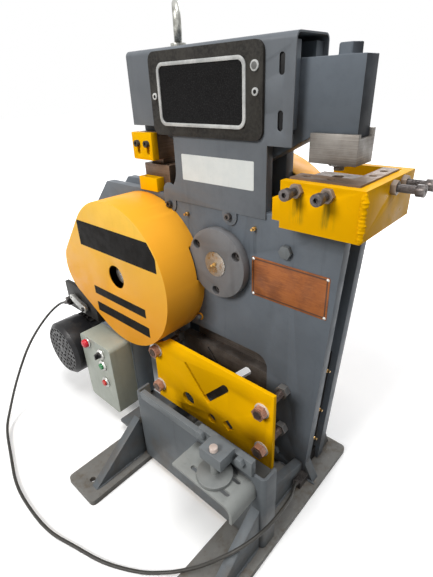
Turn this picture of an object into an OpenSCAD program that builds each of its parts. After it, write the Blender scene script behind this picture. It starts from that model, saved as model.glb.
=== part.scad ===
// Mechanical ironworker: a twin-plate frame on two feet with a rocking beam
// that works a punch on the right, a notcher on the left and a bar shear below.
// Millimetres. X runs to the right, Y to the rear, Z up.
// The origin is the centre of the four anchor holes, on the floor.

/* [Frame plates] */
// Distance from the anchor centre back to the mid-plane of the frame
mid_y = 201; // [199:1:203]
// Thickness of each frame plate
plate_t = 30; // [29:1:31]
// Gap between the two frame plates
plate_gap = 58; // [58:1:60]
// Height of the shoulders
shoulder_z = 814; // [811:1:816]
// Reach of the plates to the left at the base
base_left = 300; // [296:1:304]
// Reach of the plates to the right at the base
base_right = 252; // [248:1:256]
// Reach of the right shoulder
right_reach = 301; // [298:1:306]
// Left end of the shoulder, where the corner slope starts
slope_x = 561; // [556:1:566]
// Height at which the corner slope ends
slope_z = 710; // [704:1:716]
// Reach of the plates to the left
left_reach = 665; // [660:1:670]
// Lower end of the left edge
left_low_z = 420; // [414:1:426]
// Height at which the slanted lower edge meets the base
base_rise_z = 130; // [124:1:136]
// Reach of the neck to the left
neck_left = 200; // [197:1:203]
// Reach of the neck to the right
neck_right = 90; // [86:1:94]
// Radius of the inner corners beside the neck
throat_r = 24; // [22:1:26]
// Underside of the head
head_z = 1000; // [998:1:1004]
// Reach of the head to the left
head_left = 270; // [266:1:274]
// Reach of the head to the right
head_right = 150; // [146:1:154]
// Reach of the shear window to the left
win_left = 235; // [233:1:238]
// Reach of the shear window to the right
win_right = 110; // [106:1:114]
// Bottom of the shear window
win_low = 110; // [108:1:112]
// Top of the shear window
win_high = 400; // [396:1:404]
// Corner radius of the shear window
win_r = 40; // [36:1:44]

/* [Feet and base] */
// Half the distance between the foot centre lines
foot_x = 233; // [231:1:235]
// Width of a foot plate
foot_w = 135; // [132:1:138]
// Length of a foot plate
foot_l = 660; // [650:1:670]
// Thickness of a foot plate
foot_t = 20; // [18:1:22]
// Corner radius of a foot plate
foot_r = 14; // [10:1:18]
// Distance of an anchor hole from the end of its foot
anchor_inset = 46; // [42:1:50]
// Diameter of an anchor hole
anchor_d = 18; // [16:1:20]
// Thickness of the gussets
gusset_t = 26; // [24:1:28]
// Shift of the front gussets and the left web, to the right of the foot centre lines
gusset_shift = 30; // [28:1:32]
// Length of a front gusset
gusset_l = 186; // [182:1:190]
// Height of a front gusset
gusset_h = 148; // [144:1:152]
// Height of the side webs at the panel
web_h = 130; // [126:1:134]
// Height of the side webs at the frame
web_low_h = 58; // [56:1:62]
// Length of a rear gusset
rear_gusset_l = 55; // [50:1:58]
// Height of a rear gusset
rear_gusset_h = 120; // [116:1:124]
// Reach of the base panel ahead of the anchor centre
panel_y = 112; // [110:1:114]
// Reach of the base panel to the right
panel_right = 288; // [286:1:292]
// Top of the base panel
panel_top = 281; // [278:1:284]
// Sheet thickness of the base panel
panel_t = 8; // [7:1:9]
// Depth of the folded ends of the base panel
panel_return = 50; // [46:1:54]
// Outer radius of the base panel's folds
panel_r = 14; // [12:1:16]
// Height of the bars along the panel top
bar_h = 24; // [22:1:26]
// Thickness of the bars along the panel top
bar_t = 16; // [14:1:18]
// Left end of the rest bar
bar_left = 150; // [147:1:153]
// Gap between the rest bar and the clamp bar
bar_gap = 6; // [4:1:8]
// Height of the clamp bar
clamp_bar_h = 46; // [44:1:48]

/* [Work shelf] */
// Left end of the work shelf
shelf_left = 71; // [68:1:74]
// Length of the work shelf
shelf_l = 193; // [190:1:196]
// Depth of the work shelf
shelf_d = 90; // [88:1:92]
// Top of the work shelf
shelf_z = 259; // [256:1:261]
// Thickness of the work shelf
shelf_t = 8; // [7:1:9]
// Drop of the shelf's folded end
shelf_drop = 50; // [46:1:54]
// Radius of the shelf's fold
shelf_r = 26; // [24:1:28]
// Length of a shelf slot
shelf_slot_l = 110; // [104:1:116]
// Width of a shelf slot
shelf_slot_w = 12; // [10:1:13]
// Radius of the hold-down pad
pad_r = 44; // [42:0.5:44.5]
// Thickness of the hold-down pad
pad_t = 11; // [10:1:12]
// Radius of the hold-down screw
pad_screw_r = 10; // [9:1:11]
// Side of the hold-down block
block_w = 66; // [64:1:68]
// Height of the hold-down block
block_h = 34; // [32:1:36]
// Underside of the hold-down block
block_z = 309; // [307:1:311]

/* [Head cover] */
// Sheet thickness of the cover
cover_t = 4; // [3:1:5]
// Reach of the cover to the left
cover_left = 367; // [364:1:370]
// Reach of the cover to the right
cover_right = 160; // [157:1:163]
// Height of the cover above the lower edge of its right strip
cover_h = 209; // [207:1:212]
// Lower edge of the cover's right strip
cover_low = 967; // [964:1:970]
// Lower edge of the cover at the notcher
cover_notch_z = 996; // [995:1:998]
// Outer radius of the cover's folds
fold_r = 14; // [12:1:16]
// Reach of the apron to the left
apron_left = 205; // [203:1:207]
// Reach of the apron to the right
apron_right = 97; // [95:1:99]
// Lower edge of the apron
apron_low = 800; // [798:1:803]
// Radius of the apron's screw tabs
tab_r = 24; // [22:1:26]
// Width of a slot in the cover
cover_slot_w = 13; // [12:1:14]
// Length of a slot in the cover
cover_slot_l = 40; // [38:1:42]
// Width of the badge plate
badge_w = 358; // [354:1:362]
// Height of the badge plate
badge_h = 192; // [188:1:194]
// Thickness of the badge plate
badge_t = 8; // [7:1:9]
// Corner radius of the badge plate
badge_r = 22; // [18:1:26]
// Ring radius of the lifting eye
eye_r = 38; // [36:1:40]
// Wire radius of the lifting eye
eye_wire = 10; // [9:1:11]

/* [Beam and tools] */
// Thickness of the beam
beam_t = 54; // [53:1:55]
// Pivot of the beam, to the left of the origin
pivot_x = -60; // [-62:1:-58]
// Height of the beam pivot
pivot_z = 909; // [908:1:911]
// Radius of the pivot pin
pin_r = 35; // [33:1:37]
// Right end of the beam
ram_right = 284; // [282:1:286]
// Width of the beam end above the punch
ram_w = 98; // [96:1:100]
// Top of the beam
ram_top = 1131; // [1128:1:1134]
// Underside of the beam end
ram_low = 987; // [986:1:989]
// Height of the punch holder
holder_h = 59; // [58:1:60]
// Length of the punch holder
holder_l = 105; // [103:1:107]
// Depth of the punch holder
holder_d = 75; // [74:1:77]
// Depth of the groove in the punch holder
holder_groove = 8; // [7:1:9]
// Punch axis, to the right of the origin
punch_x = 239; // [238:1:240]
// Radius of the punch point
punch_r = 11; // [10:0.5:12]
// Radius of the punch collar
collar_r = 22; // [20:1:24]
// Length of the punch below its holder
punch_l = 16; // [15:1:17]
// Left end of the beam
notch_end = 365; // [363:1:367]
// Width of the beam end above the notcher
notch_w = 80; // [78:1:82]
// Underside of the beam end at the notcher
notch_low = 978; // [977:1:979]
// Height of the notch tool
notch_h = 94; // [93:1:94]
// Depth of the notch tool
notch_d = 102; // [100:1:104]
// Throw of the eccentric shaft
throw = 6.5; // [6:0.1:6.8]

/* [Die table] */
// Right side of the die table
table_right = 355; // [353:1:357]
// Length of the die table
table_l = 179; // [177:1:181]
// Depth of the die table
table_d = 248; // [246:1:250]
// Height of the die table
table_h = 100; // [98:1:101]
// Wall thickness of the die table
table_t = 20; // [19:1:21]
// Floor thickness of the die table
table_floor = 16; // [15:1:17]
// Width of the front die bar
die_bar_w = 46; // [44:1:47]
// Width of the side die bar
side_bar_w = 34; // [32:1:35]
// Radius of the holes in the die bars
die_bar_hole_r = 8; // [7:1:9]
// Stand of the die bars above the table walls
die_bar_rise = 4; // [3:1:5]
// Radius of the die clamp screws
clamp_r = 8; // [7:1:9]
// Length of a die clamp screw ahead of the wall
clamp_l = 62; // [58:1:66]
// Length of a front clamp screw ahead of the wall
front_clamp_l = 48; // [46:1:52]
// Radius of a clamp screw head
clamp_head_r = 12; // [11:1:13]

/* [Shear] */
// Front face of the shear plate
shear_y = 37; // [35:1:39]
// Thickness of the shear plate
shear_t = 12; // [11:1:13]
// Left end of the shear plate
shear_left = 272; // [270:1:274]
// Length of the shear plate
shear_l = 479; // [474:1:484]
// Lower edge of the shear plate
shear_low = 116; // [114:1:118]
// Height of the shear plate
shear_h = 266; // [262:1:270]
// Radius of the shear studs
stud_r = 12; // [11:1:13]
// Width across flats of the shear nuts
nut_af = 36; // [34:1:38]
// Thickness of the shear nuts
nut_t = 19; // [18:1:20]
// Radius of the washers
washer_r = 23; // [22:1:24]
// Thickness of the washers
washer_t = 3; // [3:1:4]
// Thickness of the moving blade
blade_t = 17; // [16:1:18]
// Radius of the large bar hole
bar_hole_r = 18; // [17:1:19]
// Radius of the small bar hole
rod_hole_r = 12; // [11:1:13]
// Side of the square bar hole
square_hole = 26; // [24:1:28]
// Width of the angle slot
vee_slot_w = 26; // [24:1:28]
// Room of the guide plate's holes around the blades' holes
guide_room = 7; // [6:1:8]

/* [Gear drive] */
// Eccentric shaft, to the left of the origin
crank_x = -51; // [-53:1:-49]
// Height of the eccentric shaft
crank_z = 654; // [652:1:656]
// Gear module
gear_m = 6; // [5.95:0.05:6.05]
// Face width of the gears
gear_w = 60; // [58:1:62]
// Radius of the eccentric shaft
crank_r = 40; // [39:1:41]
// Radius of the countershaft
counter_r = 28; // [27:1:29]
// Radius of the drive shaft
drive_r = 24; // [23:1:25]
// Wall thickness of the shaft bushes
bush_t = 10; // [9:1:11]
// Radius of the bearing flange
flange_r = 99; // [96:1:102]
// Thickness of the bearing flange
flange_t = 26; // [24:1:28]
// Radius of the flange's counterbores
flange_bore_r = 13; // [12:0.5:13.5]
// Room between the big gear and its guard
guard_room = 23.9; // [22:0.1:25]
// Depth of the gear guard
guard_d = 150; // [148:1:152]
// Sheet thickness of the guards
guard_t = 3; // [2:1:3]
// Radius of the lobe of the gear guard
lobe_r = 104; // [102:1:106]
// Radius of the hole in the guard face
guard_hole_r = 38; // [36:1:40]
// Radius of the flywheel
wheel_r = 180; // [177:1:182]
// Width of the flywheel
wheel_w = 70; // [68:1:72]
// Width of a belt
belt_w = 12; // [11:1:13]
// Thickness of a belt
belt_t = 9; // [8:1:10]

/* [Motor] */
// Motor axis, to the left of the origin
motor_x = -655; // [-657:1:-653]
// Height of the motor axis
motor_z = 216; // [214:1:217]
// Radius of the fan cowl
cowl_r = 104; // [102:1:106]
// Reach of the fan cowl ahead of the anchor centre
cowl_y = 108; // [105:1:111]
// Length of the fan cowl
cowl_l = 84; // [82:1:86]
// Radius of the motor body
stator_r = 94; // [92:1:96]
// Length of the motor body
stator_l = 250; // [248:1:252]
// Radius of the motor shaft
rotor_r = 14; // [13:1:15]
// Radius of the motor pulley
pulley_r = 50; // [48:1:52]
// Height of the motor bracket's shelf
hanger_z = 333; // [333:1:334]
// Thickness of the motor bracket's plates
hanger_t = 16; // [15:1:17]
// Reach of the motor bracket to the left
hanger_left = 738; // [736:1:742]
// Height of the motor bracket's front web
hanger_h = 109; // [106:1:110]

/* [Control box] */
// Left side of the control box
box_left = 540; // [538:1:541]
// Width of the control box
box_w = 180; // [178:1:182]
// Height of the control box
box_h = 276; // [272:1:278]
// Underside of the control box
box_z = 54; // [52:1:55]
// Front face of the control box, ahead of the anchor centre
box_front = 80; // [78:1:82]
// Depth of the control box lid
lid_d = 87; // [85:1:89]
// Depth of the control box body
box_d = 75; // [73:1:77]
// Wall thickness of the control box
box_t = 3; // [2:1:4]
// Corner radius of the control box
box_r = 16; // [14:1:18]
// Radius of the button bezels
bezel_r = 15; // [14:1:16]
// Radius of the button caps
cap_r = 11; // [10:0.5:11.5]
// Stroke of the buttons
button_stroke = 5; // [4:1:6]

/* [Clutch cable and pedal] */
// Radius of the clutch cable
cable_r = 4.5; // [4:0.5:5]
// Length of the pedal arm
pedal_l = 105; // [100:1:110]
// Width of the pedal tread
tread_w = 120; // [115:1:125]
// Depth of the pedal tread
tread_d = 60; // [56:1:64]
// Distance of the pedal axis behind the rear plate
pedal_room = 24; // [22:1:26]
// Height of the pedal pivot
pedal_z = 52; // [50:1:54]

/* [Clearances] */
// Radial clearance of a running fit
run_fit = 0.05; // [0.03:0.01:0.08]
// Gap between parts that move past each other
air = 0.6; // [0.5:0.1:0.8]
// Overrun of a cut past a face
over = 2; // [1:1:3]

/* [Fasteners and small parts] */
// Radius of the tie bolts
tie_r = 10; // [9:1:11]
// Width across flats of the tie bolts
tie_af = 30; // [28:1:32]
// Height of a bolt head
head_h = 12; // [11:1:13]
// Radius of the plate spacers
spacer_r = 20; // [18:1:22]
// Radius of the socket screws
socket_r = 6; // [5.5:0.5:6.5]
// Radius of a socket screw head
socket_head_r = 9; // [8.5:0.5:9.5]
// Height of a socket screw head
socket_head_h = 10; // [9:1:11]
// Width across flats of a socket
socket_af = 9; // [8:1:10]
// Width across flats of a grease nipple
nipple_af = 10; // [9:1:11]
// Length of a grease nipple
nipple_l = 16; // [15:1:17]
// Width across flats of the ram bolt
ram_bolt_af = 42; // [40:1:44]
// Height of the ram bolt head
ram_bolt_h = 20; // [19:1:22]
// Width across flats of the lock nuts
lock_af = 26; // [24:1:28]
// Thickness of the lock nuts
lock_t = 11; // [10:1:12]

/* [Hidden] */
$fn = 64;

front_y0 = mid_y - plate_gap / 2 - plate_t;
front_y1 = mid_y - plate_gap / 2;
rear_y0 = mid_y + plate_gap / 2;
rear_y1 = rear_y0 + plate_t;
anchor_y = foot_l / 2 - anchor_inset;
cover_top = cover_low + cover_h;
head_top = cover_top - fold_r;
beam_y0 = mid_y - beam_t / 2;
beam_y1 = mid_y + beam_t / 2;
plate_grey = "slategray";
shop_yellow = "gold";
tool_brown = "saddlebrown";
bright = "silver";

// Tooth counts of the two gear pairs
bull_z = 88;
counter_z = 18;
big_z = 69;
drive_z = 15;
// Directions from the eccentric shaft to the countershaft and on to the drive shaft
counter_dir = 195.15;
drive_dir = 189.5;
// Tooth height, root depth and backlash as shares of the module
tooth_top_share = 0.8;
tooth_root_share = 1.15;
backlash_share = 0.24;
flank = 20;

crank = [crank_x, crank_z];
pivot = [pivot_x, pivot_z];
motor = [motor_x, motor_z];
counter = crank + polar(gear_m * (bull_z + counter_z) / 2, counter_dir);
drive = counter + polar(gear_m * (big_z + drive_z) / 2, drive_dir);

function polar(r, a) = r * [cos(a), sin(a)];
function gear_r(z) = gear_m * z / 2;
function tip_r(z) = gear_r(z) + tooth_top_share * gear_m;
function root_r(z) = gear_r(z) - tooth_root_share * gear_m;
function tooth_half(z, d) =
  ((PI / 2 - backlash_share) * gear_m / 2 - d * tan(flank)) / (gear_r(z) + d) * 180 / PI;
function tooth(z) = [for (d = [-tooth_root_share, tooth_top_share]) [gear_r(z) + d * gear_m,
  tooth_half(z, d * gear_m)]];
function right_x(z) = base_right + (right_reach - base_right) * (z - foot_t) / (shoulder_z - foot_t);

// Profile in X and Z, pushed back along Y
module slab(y0, depth) {
  translate([0, y0 + depth, 0])
    rotate([90, 0, 0])
      linear_extrude(depth)
        children();
}

// Profile in Y and Z, pushed along X
module slab_x(x0, width) {
  translate([x0, 0, 0])
    rotate([90, 0, 90])
      linear_extrude(width)
        children();
}

// Profile of radius and distance, turned about an axis along Y through p
module turned(p, y0) {
  translate([p.x, y0, p.y])
    rotate([-90, 0, 0])
      rotate_extrude()
        children();
}

module rod_y(p, r, y0, len) {
  translate([p.x, y0, p.y])
    rotate([-90, 0, 0])
      cylinder(r = r, h = len);
}

module rod_x(y, z, r, x0, len) {
  translate([x0, y, z])
    rotate([0, 90, 0])
      cylinder(r = r, h = len);
}

module rod_z(x, y, r, z0, len) {
  translate([x, y, z0])
    cylinder(r = r, h = len);
}

module hex_y(p, af, y0, len) {
  translate([p.x, y0, p.y])
    rotate([-90, 0, 0])
      cylinder(r = af / sqrt(3), h = len, $fn = 6);
}

module hex_x(y, z, af, x0, len) {
  translate([x0, y, z])
    rotate([0, 90, 0])
      cylinder(r = af / sqrt(3), h = len, $fn = 6);
}

// Box between two corners
module block(a, b) {
  translate(a)
    cube(b - a);
}

// Straight round bar between two points
module bar_between(a, b, r) {
  d = b - a;
  translate(a)
    rotate([0, acos(d.z / norm(d)), atan2(d.y, d.x)])
      cylinder(r = r, h = norm(d));
}

// Rectangle between two corners with rounded corners
module round_rect(a, b, r) {
  translate([a.x + r, a.y])
    square([b.x - a.x - 2 * r, b.y - a.y]);
  translate([a.x, a.y + r])
    square([b.x - a.x, b.y - a.y - 2 * r]);
  for (x = [a.x + r, b.x - r], y = [a.y + r, b.y - r])
    translate([x, y])
      circle(r);
}

// Slot of width w between two points
module slot_2d(a, b, w) {
  d = b - a;
  translate(a)
    rotate(atan2(d.y, d.x))
      translate([0, -w / 2])
        square([norm(d), w]);
  for (p = [a, b])
    translate(p)
      circle(w / 2);
}

// Two circles and the band between their outer tangents
module two_circles(c1, r1, c2, r2) {
  d = c2 - c1;
  a = atan2(d.y, d.x);
  k = acos((r1 - r2) / norm(d));
  translate(c1)
    circle(r1);
  translate(c2)
    circle(r2);
  polygon([c1 + polar(r1, a + k), c2 + polar(r2, a + k), c2 + polar(r2, a - k), c1 + polar(r1, a - k)]);
}

// Toothed disc with one tooth centred on the direction turn
module gear_disc(p, z, turn, y0, len) {
  t = tooth(z);
  slab(y0, len)
    translate(p)
      polygon([for (i = [0 : z - 1])
        for (q = [[t[0], -1], [t[1], -1], [t[1], 1], [t[0], 1]])
          polar(q[0][0], turn + 360 * i / z + q[1] * q[0][1])]);
}

// Hexagon-socket screw with its head towards the front, seated at y0
module socket_screw(p, head_r, y0, len) {
  difference() {
    union() {
      rod_y(p, head_r, y0 - socket_head_h, socket_head_h);
      rod_y(p, socket_r, y0, len);
    }
    hex_y(p, socket_af, y0 - socket_head_h - over, socket_head_h / 2 + over);
  }
}

// Hexagon-headed bolt with its head towards the front, seated at y0
module hex_bolt(p, af, r, y0, len) {
  hex_y(p, af, y0 - head_h, head_h);
  rod_y(p, r, y0, len);
}

// Foot plates
module foot(side) {
  color(plate_grey)
    difference() {
      linear_extrude(foot_t)
        round_rect([side * foot_x - foot_w / 2, -foot_l / 2], [side * foot_x + foot_w / 2, foot_l / 2],
          foot_r);
      for (y = [-anchor_y, anchor_y])
        rod_z(side * foot_x, y, anchor_d / 2, -over, foot_t + 2 * over);
    }
}

module left_foot() {
  foot(-1);
}

module right_foot() {
  foot(1);
}

// Front gussets, side webs, rear gussets, right edge gusset and the arm that carries the control box
panel_back = -panel_y + panel_t;
web_mids = [gusset_shift - foot_x, foot_x];
web_left = web_mids[0] - gusset_t / 2;
panel_left = -web_left - gusset_t;
arm_t = 1.5 * panel_t;
arm_x0 = 1.1 * box_w - box_left;
arm_y0 = panel_back + panel_t;
module gussets() {
  color(plate_grey) {
    for (side = [-1, 1]) {
      slab_x(side * foot_x + gusset_shift - gusset_t / 2, gusset_t)
        polygon([[-panel_y - gusset_l, foot_t], [-panel_y, foot_t], [-panel_y, foot_t + gusset_h]]);
      slab_x(side * foot_x - gusset_t / 2, gusset_t)
        polygon([[rear_y1, foot_t], [rear_y1 + rear_gusset_l, foot_t], [rear_y1, foot_t + rear_gusset_h]]);
    }
    for (x = web_mids) {
      web_y0 = x < 0 ? -panel_y : panel_back;
      slab_x(x - gusset_t / 2, gusset_t)
        polygon([[web_y0, foot_t], [front_y0, foot_t], [front_y0, foot_t + web_low_h],
          [web_y0, foot_t + web_h]]);
    }
    slab(front_y0, plate_t)
      polygon([[base_right, foot_t], [foot_x + foot_w / 2 - foot_r, foot_t],
        [right_x(foot_t + web_low_h), foot_t + web_low_h]]);
    translate([0, 0, box_z - arm_t])
      linear_extrude(arm_t)
        polygon([[arm_x0, arm_y0], [web_left, arm_y0], [web_left, lid_y1 + box_d - box_t],
          [box_w / 2 - box_left, lid_y1 + box_d - box_t], [box_w / 2 - box_left, lid_y1 + box_t],
          [arm_x0, lid_y1 + box_t]]);
  }
}

// Base panel with folded ends
module base_panel() {
  color(plate_grey)
    translate([0, 0, foot_t])
      linear_extrude(panel_top - foot_t)
        difference() {
          round_rect([-panel_left, -panel_y], [panel_right, panel_return - panel_y + panel_r], panel_r);
          round_rect([panel_t - panel_left, panel_back],
            [panel_right - panel_t, panel_return + panel_r], panel_r - panel_t);
          translate([-panel_left - over, panel_return - panel_y])
            square([panel_left + panel_right + 2 * over, panel_return]);
        }
}

// Rest bar on the left and clamp bar on the right, along the panel top
shelf_right = shelf_left + shelf_l;
bar_split = shelf_left + bar_t - bar_gap;
bar_y0 = -panel_y - bar_t / 2;
bar_y1 = -panel_y + bar_t / 2;
module panel_bars() {
  color(plate_grey) {
    block([-bar_left, bar_y0, panel_top], [bar_split, bar_y1, panel_top + bar_h]);
    difference() {
      block([shelf_left + bar_t, bar_y0, panel_top],
        [shelf_right - bar_t / 2, bar_y1, panel_top + clamp_bar_h]);
      for (p = clamp_bolts)
        rod_y(p, tie_r / 2, bar_y0 - over, bar_t + 2 * over);
    }
  }
}
clamp_bolt_share = [0.155, 0.8];
clamp_bolts = [for (s = clamp_bolt_share) [shelf_left + s * shelf_l, panel_top + 0.72 * clamp_bar_h]];

// Bent work shelf with two slots
pad_x = shelf_left + 0.54 * shelf_l;
pad_y = -panel_y - shelf_d / 2;
slot_y_share = [0.26, 0.71];
module work_shelf() {
  lo = [shelf_left - 2 * shelf_r, shelf_z - shelf_drop - 2 * shelf_r];
  in = [shelf_t, shelf_t];
  color(plate_grey)
    difference() {
      slab(-panel_y - shelf_d, shelf_d)
        intersection() {
          difference() {
            round_rect(lo, [shelf_right, shelf_z], shelf_r);
            round_rect(lo - in, [shelf_right, shelf_z] - in, shelf_r - shelf_t);
          }
          translate([shelf_left, shelf_z - shelf_drop])
            square([shelf_l, shelf_drop]);
        }
      for (s = slot_y_share)
        translate([0, 0, shelf_z - shelf_t - over])
          linear_extrude(shelf_t + 2 * over)
            slot_2d([pad_x - shelf_slot_l / 2, -panel_y - s * shelf_d],
              [pad_x + shelf_slot_l / 2, -panel_y - s * shelf_d], shelf_slot_w);
    }
}

// Hold-down block carried by the clamp bar, and its screw with the round pad
module holddown_block() {
  color(plate_grey)
    difference() {
      block([pad_x - block_w / 2, pad_y - 1.5 * pad_screw_r, block_z],
        [pad_x + block_w / 2, bar_y0, block_z + block_h]);
      rod_z(pad_x, pad_y, pad_screw_r + run_fit, block_z - over, block_h + 2 * over);
    }
}

module holddown_screw() {
  color("gray") {
    rod_z(pad_x, pad_y, pad_r, shelf_z + air, pad_t);
    rod_z(pad_x, pad_y, pad_screw_r, shelf_z + air, block_z + block_h + pad_t - shelf_z);
  }
}

// Frame plates
tie_share = [[0.525, 0.9], [0.5, 0.08], [-0.53, 0.08], [-1.86, 0.787], [-1.5, 0.93]];
ties = [for (s = tie_share) [s.x * right_reach, s.y * shoulder_z]];
guard_r = tip_r(big_z) + guard_room;
lug_dirs = [-32, 245];
lug_reach = guard_r + head_h;
lugs = [for (a = lug_dirs) counter + polar(lug_reach, a)];
flange_dirs = [28, 148, 268];
flange_pcd_r = 0.82 * flange_r;
flange_screws = [for (a = flange_dirs) crank + polar(flange_pcd_r, a)];
tabs = [[-neck_left - 1.67 * tab_r, apron_low - tab_r / 2], [pivot_x + 1.83 * tab_r, apron_low - 0.46 * tab_r]];
cover_screws = [for (t = tabs) t];
stud_share = [[0.035, 0.22], [0.035, 0.76], [0.925, 0.22], [0.925, 0.755]];
studs = [for (s = stud_share) [s.x * shear_l - shear_left, shear_low + s.y * shear_h]];
stud_depth = 0.6 * plate_t;

// Inner corner at p of radius r, open to the directions sx and sy
module corner(p, r, sx, sy) {
  difference() {
    translate(p + [min(0, sx * r), min(0, sy * r)])
      square(r);
    translate(p + r * [sx, sy])
      circle(r);
  }
}

module plate_outline() {
  polygon([[-base_left, foot_t], [base_right, foot_t], [right_reach, shoulder_z], [neck_right, shoulder_z],
    [neck_right, head_z], [head_right, head_z], [head_right, head_top], [-head_left, head_top],
    [-head_left, head_z], [-neck_left, head_z], [-neck_left, shoulder_z], [-slope_x, shoulder_z],
    [-left_reach, slope_z], [-left_reach, left_low_z], [-base_left, base_rise_z]]);
  corner([-neck_left, head_z], throat_r, -1, -1);
  corner([-neck_left, shoulder_z], throat_r, -1, 1);
}

module frame_plate(y0) {
  slab(y0, plate_t)
    difference() {
      plate_outline();
      round_rect([-win_left, win_low], [win_right, win_high], win_r);
      translate(pivot)
        circle(pin_r);
      translate(crank)
        circle(crank_r + run_fit + bush_t);
      translate(counter)
        circle(counter_r + run_fit + bush_t);
      translate(drive)
        circle(drive_r + run_fit + bush_t);
    }
}

module front_plate() {
  color(plate_grey)
    difference() {
      frame_plate(front_y0);
      for (p = ties)
        rod_y(p, tie_r, front_y0 - over, plate_t + 2 * over);
      for (p = lugs)
        rod_y(p, tie_r / 2, front_y0 - over, stud_depth + over);
      for (p = concat(flange_screws, cover_screws))
        rod_y(p, socket_r, front_y0 - over, stud_depth + over);
      for (p = studs)
        rod_y(p, stud_r, front_y0 - over, stud_depth + over);
    }
}

module rear_plate() {
  color(plate_grey)
    difference() {
      frame_plate(rear_y0);
      for (p = ties)
        rod_y(p, tie_r, rear_y0 - over, stud_depth + over);
    }
}

// Tubes round the tie bolts, the lifting block, the foot filler and the nipple bar between the plates
eye_x = -0.84 * head_left;
eye_stem_r = 0.9 * eye_wire;
filler_w = 0.8 * plate_gap;
filler_right = base_right - foot_t / 2;
nipple_bar_top = win_high + win_r;
nipple_in = nipple_l + over;
edge_nipple_share = [0.3, 0.57, 0.9];
edge_nipples = [for (s = edge_nipple_share) s * nipple_bar_top];
module plate_spacers() {
  color("dimgray") {
    for (p = ties)
      difference() {
        rod_y(p, spacer_r, front_y1, plate_gap);
        rod_y(p, tie_r, front_y1 - over, plate_gap + 2 * over);
      }
    difference() {
      block([eye_x - filler_w / 2, front_y1, cover_top - cover_t - filler_w],
        [eye_x + filler_w / 2, rear_y0, cover_top - cover_t]);
      rod_z(eye_x, mid_y, eye_stem_r, cover_top - cover_t - filler_w / 2, filler_w);
    }
    block([filler_right - filler_w, front_y1, foot_t], [filler_right, rear_y0, foot_t + filler_w]);
    difference() {
      slab(front_y1, plate_gap)
        polygon([for (q = [[0, 0], [0, 1], [1, 1], [1, 0]])
          let (z = q.y > 0 ? nipple_bar_top : foot_t + filler_w)
            [right_x(z) - nipple_in - q.x * foot_t, z]]);
      for (z = edge_nipples)
        rod_x(mid_y, z, nipple_af / 3, right_x(z) - nipple_in - over, 2 * over);
    }
  }
}

// Tie bolts, guard bolts and clamp bar bolts
module tie_bolts() {
  color(bright) {
    for (p = ties)
      hex_bolt(p, tie_af, tie_r, front_y0, plate_t + plate_gap + stud_depth);
    for (p = lugs)
      hex_bolt(p, tie_af / 2, tie_r / 2, front_y0 - guard_t, guard_t + stud_depth);
    for (p = clamp_bolts)
      hex_bolt(p, bar_h, tie_r / 2, bar_y0, bar_t);
  }
}

// Head cover: a bent sheet over the head with an apron down the front of the neck
cover_y0 = front_y0 - cover_t;
cover_y1 = rear_y1 + cover_t;
cover_slot_x = head_right - 1.6 * cover_slot_w;
cover_slot_z = [cover_low + 1.28 * cover_slot_l, cover_low + 3.88 * cover_slot_l];
module cover_fold() {
  difference() {
    round_rect([cover_y0, cover_low - fold_r], [cover_y1, cover_top], fold_r);
    translate([0, -cover_t])
      round_rect([front_y0, cover_low - fold_r], [rear_y1, cover_top], fold_r - cover_t);
    translate([cover_y0 - over, cover_low - 2 * fold_r])
      square([cover_y1 - cover_y0 + 2 * over, 2 * fold_r]);
  }
}

module apron_outline() {
  translate([-apron_left, apron_low])
    square([apron_left + apron_right, cover_low - apron_low]);
  for (t = tabs)
    slot_2d(t, [t.x, apron_low + tab_r], 2 * tab_r);
  flare = [tabs[0].x - tab_r, shoulder_z + 3 * tab_r];
  polygon(concat([[-apron_left, apron_low]], [for (a = [0 : 10 : 90])
    flare + [(-apron_left - flare.x) * cos(a), (apron_low + tab_r - flare.y) * sin(a)]],
    [[tabs[0].x, apron_low]]));
  corner([-apron_left, cover_notch_z], throat_r, -1, -1);
}

module apron() {
  difference() {
    apron_outline();
    for (t = tabs)
      translate(t)
        circle(socket_r);
  }
}

module head_cover() {
  color(plate_grey) {
    difference() {
      slab_x(-cover_left, cover_left + cover_right)
        cover_fold();
      block([-cover_left - over, cover_y0 - over, cover_low - over],
        [-apron_left, cover_y1 + over, cover_notch_z]);
      rod_z(eye_x, mid_y, eye_stem_r, cover_top - 2 * cover_t, 4 * cover_t);
      slab(cover_y0 - over, cover_t + 2 * over)
        for (z = cover_slot_z)
          slot_2d([cover_slot_x, z - cover_slot_l / 2 + cover_slot_w / 2],
            [cover_slot_x, z + cover_slot_l / 2 - cover_slot_w / 2], cover_slot_w);
    }
    slab(cover_y0, cover_t)
      apron();
  }
}

// Cast badge plate with a raised border and a small boss, its field left plain
badge_x0 = -cover_left + 0.51 * badge_h;
badge_z0 = cover_top - 2 * cover_t - badge_h;
border_w = 0.042 * badge_h;
border_lo_share = [0.09, 0.12];
border_hi_share = [0.12, 0.13];
badge_screw_share = [[0.05, 0.48], [0.95, 0.51]];
boss_share = [0.945, 0.76];
module badge_plate() {
  lo = [badge_x0, badge_z0];
  hi = lo + [badge_w, badge_h];
  in = [border_lo_share.x * badge_w, border_lo_share.y * badge_h];
  out = [border_hi_share.x * badge_w, border_hi_share.y * badge_h];
  rim = [border_w, border_w];
  color("dimgray") {
    slab(cover_y0 - badge_t, badge_t)
      round_rect(lo, hi, badge_r);
    slab(cover_y0 - 1.4 * badge_t, 0.4 * badge_t)
      difference() {
        round_rect(lo + in, hi - out, badge_r);
        round_rect(lo + in + rim, hi - out - rim, badge_r - border_w);
      }
    rod_y(lo + [boss_share.x * badge_w, boss_share.y * badge_h], 1.3 * border_w, cover_y0 - 1.4 * badge_t,
      0.4 * badge_t);
    for (s = badge_screw_share)
      rod_y(lo + [s.x * badge_w, s.y * badge_h], border_w, cover_y0 - 1.4 * badge_t, 0.4 * badge_t);
  }
}

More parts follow.
